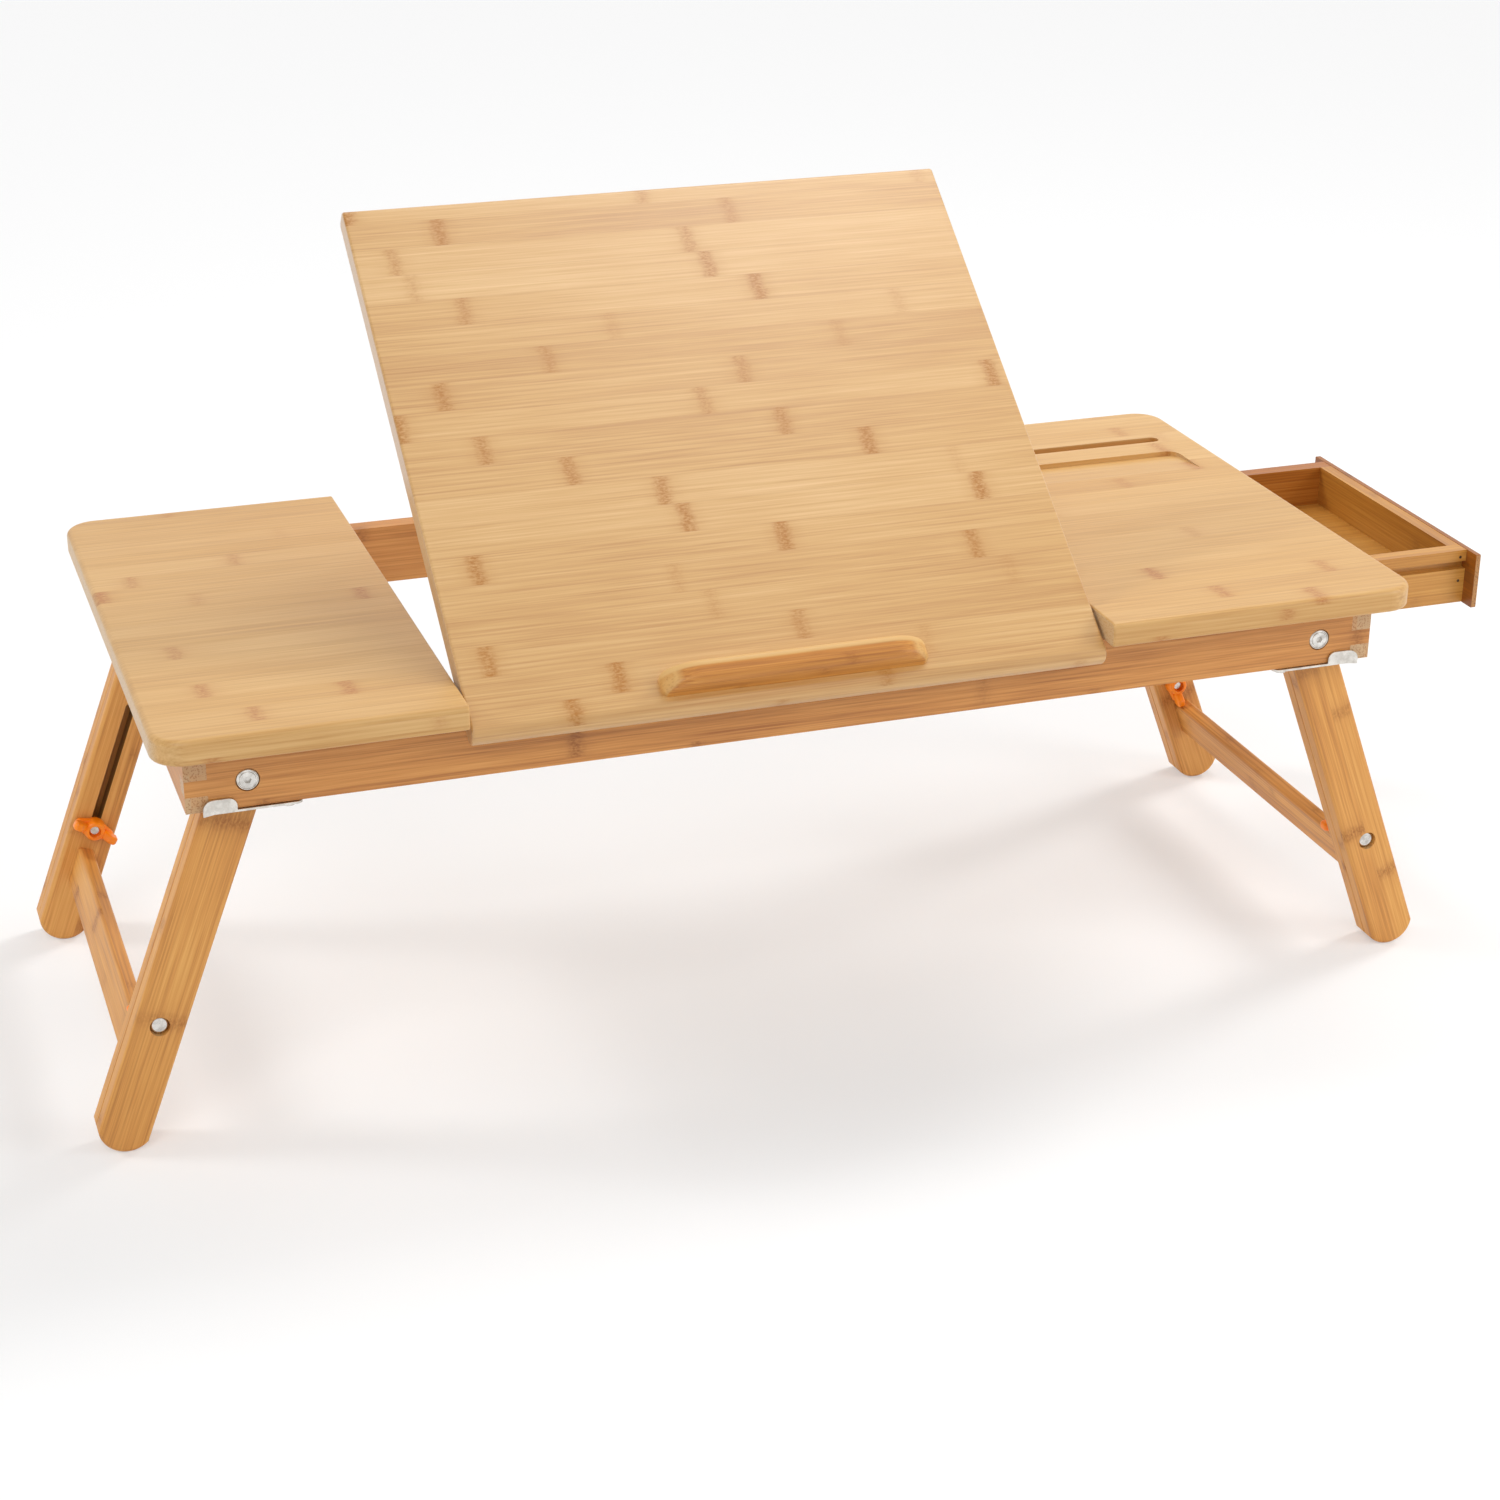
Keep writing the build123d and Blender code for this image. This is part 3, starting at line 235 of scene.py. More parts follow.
@dataclass(frozen=True)
class Bamboo:
    """Plain-pressed bamboo board under satin lacquer.

    Strips of split culm lie side by side, so the face shows straight bands that differ a little in
    tone, long fibre streaks, and a darker freckled bar where a strip crosses the culm's joint. Cut
    ends show the fibre bundles as dark points on a greyer ground. Real fibres are about half a
    millimetre across, and are drawn twice as coarse so that they show.
    """

    name: str
    # Colours: the tones of the strips, the marks at culm joints and the sawn ends.
    pale: str
    mid: str
    dark: str
    joint: str
    end: str
    # Sizes of strips, joints, streaks and fibres, seams, and the sway of a joint's bar.
    strip_mm: float = 19.0
    layer_mm: float = 6.7
    joint_pitch_mm: float = 235.0
    joint_half_mm: float = 7.0
    halo_half_mm: float = 15.0
    streak_mm: float = 1.7
    streak_long_mm: float = 190.0
    fibre_mm: float = 1.0
    seam_mm: float = 0.6
    sway_mm: float = 8.0
    sway_long_mm: float = 50.0
    sway_wide_mm: float = 5.0
    # Dashes and bundles in a millimetre. Both are stretched along the fibres.
    dashes_per_mm: tuple[float, float, float] = (0.4, 0.85, 0.85)
    bundles_per_mm: float = 0.9
    bundle_stretch: tuple[float, float, float] = (0.02, 1.0, 1.0)
    # How many fibres and drifts of tone follow each other in the length of a streak.
    fibres_per_streak: float = 4.0
    drifts_per_streak: float = 1.6
    # How strongly each mark shows.
    band_tone: float = 0.16
    streak_tone: float = 0.8
    fibre_share: float = 0.6
    drift_tone: float = 0.3
    joint_tone: float = 0.58
    halo_tone: float = 0.3
    seam_tone: float = 0.3
    pore_tone: float = 0.75
    end_band_tone: float = 0.45
    # How squarely a face has to cut the fibres to count as a sawn end, and how soon it does.
    cut_from: float = 0.8
    cut_width: float = 0.15
    # Lacquer: its roughness, how much smoother and duller it gets in places, its coat and its relief.
    roughness: float = 0.4
    polish: float = 0.06
    haze: float = 0.08
    coat: float = 0.12
    coat_roughness: float = 0.3
    ior: float = 1.5
    relief_mm: float = 0.25
    relief_strength: float = 0.12
    joint_rise: float = 0.8
    patch: Patch | None = None

    def material(self, piece: str, grain: GrainFrame, seed: float) -> bpy.types.Material:
        """Makes this bamboo for one piece.

        Args:
            piece: The piece's name, which the material takes too.
            grain: Where the piece's fibres run.
            seed: Number that sets this piece's strips apart from every other piece's.

        Returns:
            The finished material.
        """
        made, tree, shader = new_material(f"{self.name}_{piece}")
        place = self.locate(tree, grain, seed)
        ground, streak = self.ground(place)
        joint = self.joints(place)
        cut, sawn = self.cut_ends(place, grain)
        marked = add_node(tree, "Math", {0: joint, 1: self.joint_tone}, operation="MULTIPLY", use_clamp=True)
        layers = [(marked, linear(self.joint)), (self.seams(place), linear(self.dark)), (cut, sawn)]
        # Painted light where a piece has a patch: shade inside a slot, or a highlight along an edge.
        if self.patch:
            layers.append((self.patch.mask(place), linear(self.patch.colour)))
        wood = ground.outputs[0]
        for share, colour in layers:
            blend = add_node(tree, "Mix", {0: share, MIX_FROM: wood, MIX_TO: colour}, data_type="RGBA")
            wood = blend.outputs[MIX_OUT]
        tree.links.new(wood, shader.inputs["Base Color"])
        self.lacquer(shader, place, streak, joint)
        return made

    def locate(self, tree: bpy.types.NodeTree, grain: GrainFrame, seed: float) -> BoardPlace:
        """Adds nodes that turn a point's coordinates to its place among the strips.

        Args:
            tree: The material's tree.
            grain: Where the piece's fibres run.
            seed: The piece's own number.

        Returns:
            The sockets that tell the place.
        """
        coords = add_node(tree, "TexCoord")
        at = coords.outputs["Object"]
        in_mm = {"Vector": at, "Location": grain.origin, "Rotation": grain.turn, "Scale": (MM, MM, MM)}
        local = add_node(tree, "Mapping", in_mm, vector_type="TEXTURE")
        split = add_node(tree, "SeparateXYZ", {0: local})
        across = split.outputs[grain.across.value]
        # Strips lie across Y or Z, and the layers follow each other along the other of the two.
        depth = split.outputs[Across.Y.value + Across.Z.value - grain.across.value]
        shift = seed * SEAM_SHIFT_PER_SEED + SEAM_SHIFT
        lane = add_node(
            tree, "Math", {0: across, 1: 1 / self.strip_mm, 2: shift}, operation="MULTIPLY_ADD"
        )
        strip = add_node(tree, "Math", {0: lane}, operation="FLOOR")
        stack = add_node(
            tree, "Math", {0: depth, 1: 1 / self.layer_mm, 2: LAYER_SHIFT}, operation="MULTIPLY_ADD"
        )
        layer = add_node(tree, "Math", {0: stack}, operation="FLOOR")
        cell = add_node(tree, "CombineXYZ", {0: strip, 1: layer, 2: seed})
        chance = add_node(tree, "TexWhiteNoise", {0: cell}, noise_dimensions="3D")
        normal = coords.outputs["Normal"]
        return BoardPlace(tree, seed, normal, local, split.outputs[0], across, depth, lane, strip, chance)

    def ground(self, place: BoardPlace) -> tuple[bpy.types.Node, bpy.types.Node]:
        """Colours the strips: their own tone, a slow drift along them, streaks and fine fibres.

        Args:
            place: Where a point lies in the board.

        Returns:
            The colour, and the noise of the streaks.
        """
        tree = place.tree
        # Each strip's streaks start at their own place, so they stop at the strip's edge.
        shift = add_node(
            tree, "Math", {0: place.chance, 1: STREAK_JUMP_MM, 2: place.along}, operation="MULTIPLY_ADD"
        )
        long_way = add_node(tree, "Math", {0: shift, 1: 1 / self.streak_long_mm}, operation="MULTIPLY")
        cross_way = add_node(tree, "Math", {0: place.across, 1: 1 / self.streak_mm}, operation="MULTIPLY")
        deep_way = add_node(tree, "Math", {0: place.depth, 1: 1 / self.streak_mm}, operation="MULTIPLY")
        streak_at = add_node(tree, "CombineXYZ", {0: long_way, 1: cross_way, 2: deep_way})
        streak = add_node(
            tree, "TexNoise", {"Vector": streak_at, "Scale": 1.0, "Detail": 4.0, "Roughness": 0.62}
        )
        finer = (self.fibres_per_streak, self.streak_mm / self.fibre_mm, 1.0)
        fibre_at = add_node(tree, "VectorMath", {0: streak_at, 1: finer}, operation="MULTIPLY")
        fibre = add_node(
            tree, "TexNoise", {"Vector": fibre_at, "Scale": 1.0, "Detail": 2.0, "Roughness": 0.5}
        )
        drift_at = add_node(tree, "CombineXYZ", {0: long_way, 1: place.strip, 2: place.seed})
        drift = add_node(
            tree, "TexNoise", {"Vector": drift_at, "Scale": self.drifts_per_streak, "Detail": 1.0}
        )
        # All four add up about the middle of the ramp.
        lowest = TONE_MID - self.band_tone / 2
        tone = add_node(
            tree, "Math", {0: place.chance, 1: self.band_tone, 2: lowest}, operation="MULTIPLY_ADD"
        )
        fibre_tone = self.streak_tone * self.fibre_share
        for noise, share in ((drift, self.drift_tone), (streak, self.streak_tone), (fibre, fibre_tone)):
            part = add_node(tree, "Math", {0: noise, 1: 0.5}, operation="SUBTRACT")
            tone = add_node(tree, "Math", {0: part, 1: share, 2: tone}, operation="MULTIPLY_ADD")
        tones = {TONE_DARK: self.dark, TONE_MID: self.mid, TONE_PALE: self.pale}
        return add_node(tree, "ValToRGB", {0: tone}, stops=tones), streak

    def joints(self, place: BoardPlace) -> bpy.types.Node:
        """Marks the culm joints: a ragged bar every joint pitch along a strip, shifted by chance.

        Args:
            place: Where a point lies in the board.

        Returns:
            A node whose value is 0 away from joints and about 1 on a strong one.
        """
        tree = place.tree
        sway_scale = (1 / self.sway_long_mm, 1 / self.sway_wide_mm, 1 / self.sway_wide_mm)
        sway_at = add_node(tree, "VectorMath", {0: place.local, 1: sway_scale}, operation="MULTIPLY")
        sway = add_node(
            tree, "TexNoise", {"Vector": sway_at, "Scale": 1.0, "Detail": 3.0, "Roughness": 0.7}
        )
        swayed = add_node(
            tree, "Math", {0: sway, 1: self.sway_mm, 2: place.along}, operation="MULTIPLY_ADD"
        )
        chances = add_node(tree, "SeparateColor", {0: place.chance.outputs["Color"]})
        offset = add_node(tree, "Math", {0: chances.outputs[1], 1: JOINT_JUMP}, operation="MULTIPLY")
        per_mm = 1 / self.joint_pitch_mm
        count = add_node(tree, "Math", {0: swayed, 1: per_mm, 2: offset}, operation="MULTIPLY_ADD")
        number = add_node(tree, "Math", {0: count}, operation="FLOOR")
        within = add_node(tree, "Math", {0: count}, operation="FRACT")
        centred = add_node(tree, "Math", {0: within, 1: 0.5}, operation="SUBTRACT")
        apart = add_node(tree, "Math", {0: centred}, operation="ABSOLUTE")
        gap = add_node(tree, "Math", {0: apart, 1: self.joint_pitch_mm}, operation="MULTIPLY")
        bar_range = {"Value": gap, "From Min": self.joint_half_mm, "From Max": 0.0}
        bar = add_node(tree, "MapRange", bar_range, interpolation_type="SMOOTHSTEP")
        halo_range = {"Value": gap, "From Min": self.halo_half_mm, "From Max": 0.0, "To Max": self.halo_tone}
        halo = add_node(tree, "MapRange", halo_range, interpolation_type="SMOOTHSTEP")
        # Some joints are faint and some are strong.
        which = add_node(tree, "CombineXYZ", {0: place.strip, 1: number, 2: place.seed + LUCK_SEED})
        luck = add_node(tree, "TexWhiteNoise", {0: which}, noise_dimensions="3D")
        force = add_node(tree, "MapRange", {"Value": luck, "From Max": 0.95, "To Min": 0.2, "To Max": 1.0})
        # The bar is made of short dashes, where fibre bundles cross the joint.
        dash_at = add_node(tree, "VectorMath", {0: place.local, 1: self.dashes_per_mm}, operation="MULTIPLY")
        dash = add_node(
            tree, "TexNoise", {"Vector": dash_at, "Scale": 1.0, "Detail": 2.0, "Roughness": 0.6}
        )
        dot_range = {"Value": dash, "From Min": 0.38, "From Max": 0.62, "To Min": 0.25, "To Max": 1.1}
        dots = add_node(tree, "MapRange", dot_range)
        bar_dots = add_node(tree, "Math", {0: bar, 1: dots, 2: halo}, operation="MULTIPLY_ADD")
        return add_node(tree, "Math", {0: bar_dots, 1: force}, operation="MULTIPLY")

    def seams(self, place: BoardPlace) -> bpy.types.Node:
        """Marks the hairline glue seams between strips.

        Args:
            place: Where a point lies in the board.

        Returns:
            A node whose value rises from 0 to the seam's tone at a seam.
        """
        tree = place.tree
        in_strip = add_node(tree, "Math", {0: place.lane}, operation="FRACT")
        from_mid = add_node(tree, "Math", {0: in_strip, 1: 0.5}, operation="SUBTRACT")
        to_seam = add_node(tree, "Math", {0: from_mid}, operation="ABSOLUTE")
        edge = 0.5 - self.seam_mm / self.strip_mm
        seam_range = {"Value": to_seam, "From Min": edge, "From Max": 0.5, "To Max": self.seam_tone}
        return add_node(tree, "MapRange", seam_range)

    def cut_ends(self, place: BoardPlace, grain: GrainFrame) -> tuple[bpy.types.Node, bpy.types.NodeSocket]:
        """Colours the sawn ends: fibre bundles as points about a millimetre apart.

        Args:
            place: Where a point lies in the board.
            grain: Where the piece's fibres run.

        Returns:
            A node whose value is 1 on sawn ends and 0 elsewhere, and the ends' colour.
        """
        tree = place.tree
        facing = add_node(tree, "VectorMath", {0: place.normal, 1: grain.axis()}, operation="DOT_PRODUCT")
        square = add_node(tree, "Math", {0: facing.outputs["Value"]}, operation="ABSOLUTE")
        cut_to = self.cut_from + self.cut_width
        cut = add_node(tree, "MapRange", {"Value": square, "From Min": self.cut_from, "From Max": cut_to})
        bundle_at = add_node(
            tree, "VectorMath", {0: place.local, 1: self.bundle_stretch}, operation="MULTIPLY"
        )
        bundle = add_node(tree, "TexVoronoi", {"Vector": bundle_at, "Scale": self.bundles_per_mm})
        # A bundle is darkest at its middle and fades out half way to the next.
        pore_range = {"From Min": 0.15, "From Max": 0.5, "To Min": self.pore_tone, "To Max": 0.0}
        points = add_node(tree, "MapRange", {"Value": bundle, **pore_range})
        band = add_node(tree, "MapRange", {"Value": place.chance, "To Max": self.end_band_tone})
        sawn = add_node(
            tree, "Mix", {0: band, MIX_FROM: linear(self.end), MIX_TO: linear(self.mid)}, data_type="RGBA"
        )
        plain = sawn.outputs[MIX_OUT]
        pored = add_node(
            tree, "Mix", {0: points, MIX_FROM: plain, MIX_TO: linear(self.dark)}, data_type="RGBA"
        )
        return cut, pored.outputs[MIX_OUT]

    def lacquer(
        self, shader: bpy.types.Node, place: BoardPlace, streak: bpy.types.Node, joint: bpy.types.Node
    ) -> None:
        """Sets gloss and relief: a little duller over pale streaks, with joints a hair proud.

        Args:
            shader: The material's shader.
            place: Where a point lies in the board.
            streak: The noise of the streaks.
            joint: The mark of the culm joints.
        """
        tree = place.tree
        smooth = self.roughness - self.polish
        dull = self.roughness + self.haze
        gloss_range = {"From Min": NOISE_LOW, "From Max": NOISE_HIGH, "To Min": smooth, "To Max": dull}
        gloss = add_node(tree, "MapRange", {"Value": streak, **gloss_range})
        raised = add_node(tree, "Math", {0: joint, 1: self.joint_rise, 2: streak}, operation="MULTIPLY_ADD")
        deep = self.relief_mm * MM
        relief = add_node(
            tree, "Bump", {"Strength": self.relief_strength, "Distance": deep, "Height": raised}
        )
        tree.links.new(gloss.outputs[0], shader.inputs["Roughness"])
        tree.links.new(relief.outputs[0], shader.inputs["Normal"])
        shader.inputs["Coat Weight"].default_value = self.coat
        shader.inputs["Coat Roughness"].default_value = self.coat_roughness
        shader.inputs["IOR"].default_value = self.ior


@dataclass(frozen=True)
class PlatedSteel:
    """Steel with a thin bright plating: pale grey, softly mirrored, clouded where it was handled.

    Draw lines are finer than a tenth of a millimetre, and are drawn far coarser so that they show.
    """

    name: str
    bright: str
    cloud: str
    roughness: float
    haze: float = 0.1
    cloud_mm: float = 4.0
    draw_mm: float = 0.0
    draw_long_mm: float = 30.0
    relief_mm: float = 0.1
    relief_strength: float = 0.08

    def material(self) -> bpy.types.Material:
        """Makes the material, with faint draw lines where the steel was drawn or rolled.

        Returns:
            The finished material.
        """
        made, tree, shader = new_material(self.name)
        at = add_node(tree, "TexCoord").outputs["Object"]
        clouds = 1 / (self.cloud_mm * MM)
        mottle = add_node(
            tree, "TexNoise", {"Vector": at, "Scale": clouds, "Detail": 4.0, "Roughness": 0.6}
        )
        tint = add_node(tree, "ValToRGB", {0: mottle}, stops={0.35: self.cloud, 0.62: self.bright})
        clear = self.roughness
        dull = self.roughness + self.haze
        gloss_range = {"From Min": NOISE_LOW, "From Max": NOISE_HIGH, "To Min": dull, "To Max": clear}
        gloss = add_node(tree, "MapRange", {"Value": mottle, **gloss_range})
        height = mottle
        if self.draw_mm:
            fine = 1 / (self.draw_mm * MM)
            stretch = (1 / (self.draw_long_mm * MM), fine, fine)
            lines_at = add_node(tree, "VectorMath", {0: at, 1: stretch}, operation="MULTIPLY")
            height = add_node(tree, "TexNoise", {"Vector": lines_at, "Scale": 1.0, "Detail": 2.0})
        deep = self.relief_mm * MM
        relief = add_node(
            tree, "Bump", {"Strength": self.relief_strength, "Distance": deep, "Height": height}
        )
        tree.links.new(tint.outputs[0], shader.inputs["Base Color"])
        tree.links.new(gloss.outputs[0], shader.inputs["Roughness"])
        tree.links.new(relief.outputs[0], shader.inputs["Normal"])
        shader.inputs["Metallic"].default_value = 1.0
        return made


@dataclass(frozen=True)
class MouldedPlastic:
    """Bright moulded polypropylene: even colour, soft gloss and a faint orange-peel skin."""

    name: str
    bright: str
    deep: str
    flow_mm: float = 9.0
    peel_mm: float = 1.6
    roughness: float = 0.34
    polish: float = 0.05
    haze: float = 0.08
    relief_mm: float = 0.15
    relief_strength: float = 0.1
    ior: float = 1.49

    def material(self) -> bpy.types.Material:
        """Makes the material.

        Returns:
            The finished material.
        """
        made, tree, shader = new_material(self.name)
        at = add_node(tree, "TexCoord").outputs["Object"]
        flows = 1 / (self.flow_mm * MM)
        flow = add_node(tree, "TexNoise", {"Vector": at, "Scale": flows, "Detail": 3.0})
        tint = add_node(tree, "ValToRGB", {0: flow}, stops={0.3: self.deep, 0.65: self.bright})
        peels = 1 / (self.peel_mm * MM)
        peel = add_node(tree, "TexNoise", {"Vector": at, "Scale": peels, "Detail": 2.0})
        smooth = self.roughness - self.polish
        dull = self.roughness + self.haze
        gloss_range = {"From Min": NOISE_LOW, "From Max": NOISE_HIGH, "To Min": smooth, "To Max": dull}
        gloss = add_node(tree, "MapRange", {"Value": peel, **gloss_range})
        height = self.relief_mm * MM
        relief = add_node(
            tree, "Bump", {"Strength": self.relief_strength, "Distance": height, "Height": peel}
        )
        tree.links.new(tint.outputs[0], shader.inputs["Base Color"])
        tree.links.new(gloss.outputs[0], shader.inputs["Roughness"])
        tree.links.new(relief.outputs[0], shader.inputs["Normal"])
        shader.inputs["IOR"].default_value = self.ior
        return made


# Natural bamboo of the top: pale straw, with a glossier lacquer and stronger joints on the flap.
TOP_BAMBOO = Bamboo(
    "bamboo_top", pale="#DDB67D", mid="#CDA061", dark="#B68242", joint="#A4590A", end="#C9AC84", coat=0.1
)
FLAP_BAMBOO = Bamboo(
    "bamboo_flap",
    pale="#DCB57E",
    mid="#CB9E60",
    dark="#B37F43",
    joint="#A86A00",
    end="#C2A077",
    joint_pitch_mm=175.0,
    joint_tone=0.85,
    band_tone=0.18,
    coat=0.8,
)
# Steamed bamboo of the frame and the legs: browner and duller, with strong streaks.
RAIL_BAMBOO = Bamboo(
    "bamboo_rail",
    pale="#DDA25C",
    mid="#C98945",
    dark="#9F5F26",
    joint="#844812",
    end="#C4A47C",
    strip_mm=18.0,
    streak_tone=1.0,
    streak_mm=2.0,
    roughness=0.45,
    coat=0.05,
)
LEG_BAMBOO = Bamboo(
    "bamboo_leg",
    pale="#E6AE60",
    mid="#D49447",
    dark="#AD6C2C",
    joint="#92500F",
    end="#C49C66",
    strip_mm=28.0,
    joint_pitch_mm=118.0,
    streak_tone=0.95,
    roughness=0.48,
    coat=0.05,
)
# The ledge is browner still, partly as painted shade for its front face, with a painted highlight as a paler
# band along its back edge, and paler rounded ends whose pale sawn-end colour is a painted highlight too.
LEDGE_PAINTED_HIGHLIGHT = Patch((0.0, 0.0, 14.0), (200.0, 10.5, 20.0), "#D8AF70", 0.85, fade_mm=1.2)
LEDGE_BAMBOO = replace(
    LEG_BAMBOO,
    name="bamboo_ledge",
    pale="#D69B4A",
    mid="#BE7C32",
    dark="#985A20",
    end="#D4A866",
    cut_from=0.3,
    pore_tone=0.3,
    patch=LEDGE_PAINTED_HIGHLIGHT,
)
# The sliding legs have painted shade inside their slots: a near-black brown mixed into the wood.
LEG_SLOT_SHADE = Patch((40.0, 5.5, 0.0), (44.0, 5.3, 3.1), "#2A1208", 0.92)
SLIDER_BAMBOO = replace(LEG_BAMBOO, name="bamboo_sliding_leg", patch=LEG_SLOT_SHADE)
# Thin drawer boards: amber brown, with painted shade making the face darkest and the back side darker.
BOX_BAMBOO = Bamboo(
    "bamboo_drawer",
    pale="#D09A4B",
    mid="#B97E31",
    dark="#96591A",
    joint="#7A4618",
    end="#AC8350",
    strip_mm=16.0,
)
# The face is a darker copy of the drawer's bamboo, painted shade for its side in shadow.
FACE_SHADED_BAMBOO = Bamboo(
    "bamboo_drawer_face",
    pale="#AA6E22",
    mid="#945510",
    dark="#683B0E",
    joint="#54300C",
    end="#B07C42",
    strip_mm=17.0,
)
# The back side is a darker copy of the drawer's bamboo, painted shade for its inner face in shadow.
BACK_SHADED_BAMBOO = replace(BOX_BAMBOO, name="bamboo_drawer_back", pale="#C4853A", mid="#A9651E", dark="#83460E")
# Zinc plating on bolts, screws and pins: a pale mirror, a little clouded.
ZINC = PlatedSteel("zinc_plated_steel", "#E2DFDA", "#BDB9B3", 0.2)
# Rolled sheet steel of the latches, brackets and rack: a softer mirror with rolling lines.
SHEET = PlatedSteel("bright_sheet_steel", "#E0DCD5", "#C6C1B9", 0.24, draw_mm=0.9)
# Nickel plating on the drawn wire of the prop: a clear mirror with drawing lines.
WIRE = PlatedSteel("nickel_plated_wire", "#D9D6D0", "#BFBCB6", 0.2, draw_mm=0.5)
# Dulled steel of the nails: small brown-grey dots that hardly shine.
NAIL = PlatedSteel("dull_nail_steel", "#6B5B4C", "#4A3C30", 0.45)
# Moulded polypropylene of the wing nuts: a bright, even orange.
ORANGE = MouldedPlastic("orange_polypropylene", "#FF8F10", "#F87F06")

NO_TURN = Euler((0, 0, 0))
QUARTER_TURN = Euler((0, 0, math.pi / 2))


def dress(node: str, material: bpy.types.Material) -> None:
    """Gives a CAD node its finish and reports it.

    Args:
        node: The node's name.
        material: The finish.
    """
    slots = frame["nodes"][node].material_slots
    for slot in slots:
        slot.material = material
    LOG.info("%s: %s", node, material.name)


def corner(node: str) -> Vector:
    """The lowest corner of a node, from which its grain is measured."""
    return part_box(node)[0]


@dataclass
class TableTop:
    """The fixed panels and the tilting flap with its ledge. Each seed sets a board's strips apart."""

    flap_tilt_deg: float = 37.3
    # The slot in the right panel, measured from the panel's corner, and the painted shade on its walls, a
    # darker amber.
    slot_y_mm: float = 292.0
    slot_z_mm: float = 9.6
    slot_half_mm: tuple[float, float, float] = (73.2, 4.8, 3.8)
    slot_shade_colour: str = "#B4721A"
    slot_shade_share: float = 0.5
    panel_seed_step: float = 2.3
    flap_seed: float = 17.2
    ledge_seed: float = 11.2
    dowel_seed: float = 12.4

    def dress(self) -> None:
        """Lays the grain along the table on every board."""
        low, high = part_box("right_panel")
        middle = ((high.x - low.x) / 2 / MM, self.slot_y_mm, self.slot_z_mm)
        # Painted shade on the slot's walls: a darker amber mixed into the top's wood.
        slot_shade = Patch(middle, self.slot_half_mm, self.slot_shade_colour, self.slot_shade_share)
        slotted = replace(TOP_BAMBOO, name="bamboo_slotted_top", patch=slot_shade)
        panels = (("left_panel", TOP_BAMBOO), ("right_panel", slotted))
        for seed, (node, finish) in enumerate(panels, 1):
            grain = GrainFrame(corner(node), NO_TURN, Across.Y)
            dress(node, finish.material(node, grain, seed * self.panel_seed_step))
        slope = Euler((math.radians(self.flap_tilt_deg), 0, 0))
        hinge = next(joint for joint in frame["joints"] if joint["name"] == "flap_tilt")
        grain = GrainFrame(Vector(hinge["pos_m"]), slope, Across.Y)
        dress("flap_board", FLAP_BAMBOO.material("flap_board", grain, self.flap_seed))
        dress("ledge", LEDGE_BAMBOO.material("ledge", grain, self.ledge_seed))
        dress("ledge_dowels", RAIL_BAMBOO.material("ledge_dowels", grain, self.dowel_seed))


@dataclass
class RailFrame:
    """The four rails and what is fixed to them. Each seed sets a board's strips apart."""

    long_seed: float = 20.3
    long_seed_step: float = 1.7
    short_seed: float = 31.1
    short_seed_step: float = 1.9

    def dress(self) -> None:
        """Finishes the boards and the hardware."""
        self.dress_boards()
        self.dress_hardware()

    def dress_boards(self) -> None:
        """Lays the grain along each rail and runner."""
        long_boards = ("front_rail", "back_rail", "drawer_runner_front", "drawer_runner_back", "drawer_stop")
        for count, node in enumerate(long_boards):
            grain = GrainFrame(corner(node), NO_TURN, Across.Z)
            seed = self.long_seed + count * self.long_seed_step
            dress(node, RAIL_BAMBOO.material(node, grain, seed))
        for count, node in enumerate(("left_rail", "right_rail")):
            grain = GrainFrame(corner(node), QUARTER_TURN, Across.Z)
            seed = self.short_seed + count * self.short_seed_step
            dress(node, RAIL_BAMBOO.material(node, grain, seed))

    def dress_hardware(self) -> None:
        """Plates the bolts, screws and pins, and finishes the latches and the prop with its rack."""
        zinc = ZINC.material()
        names = ["pivot_washers", "latch_screws", "runner_screws", "rack_screws", "bracket_screws"]
        names += ["flap_hinge_pin_left", "flap_hinge_pin_right"]
        names += ["stretcher_screws_left", "stretcher_screws_right"]
        names += [node for node in frame["nodes"] if node.startswith(("pivot_bolt_", "lock_bolt_"))]
        for node in names:
            dress(node, zinc)
        sheet = SHEET.material()
        sheet_starts = ("latch_front", "latch_back", "prop_bracket")
        for node in [node for node in frame["nodes"] if node.startswith(sheet_starts)]:
            dress(node, sheet)
        dress("prop_rack", sheet)
        dress("prop_bail", WIRE.material())


@dataclass
class Drawer:
    """The drawer's boards. Each seed sets a board's strips apart."""

    side_seed: float = 41.3
    side_seed_step: float = 2.1
    end_seed: float = 47.7
    end_seed_step: float = 1.3
    face_seed: float = 51.2
    bottom_seed: float = 53.9

    def dress(self) -> None:
        """Lays the grain along each board and dulls the nails."""
        sides = (("drawer_side_front", BOX_BAMBOO), ("drawer_side_back", BACK_SHADED_BAMBOO))
        for count, (node, finish) in enumerate(sides):
            grain = GrainFrame(corner(node), NO_TURN, Across.Z)
            dress(node, finish.material(node, grain, self.side_seed + count * self.side_seed_step))
        for count, node in enumerate(("drawer_end_outer", "drawer_end_inner")):
            grain = GrainFrame(corner(node), QUARTER_TURN, Across.Z)
            dress(node, BOX_BAMBOO.material(node, grain, self.end_seed + count * self.end_seed_step))
        grain = GrainFrame(corner("drawer_face"), QUARTER_TURN, Across.Z)
        dress("drawer_face", FACE_SHADED_BAMBOO.material("drawer_face", grain, self.face_seed))
        grain = GrainFrame(corner("drawer_bottom"), NO_TURN, Across.Y)
        dress("drawer_bottom", BOX_BAMBOO.material("drawer_bottom", grain, self.bottom_seed))
        dress("drawer_nails", NAIL.material())


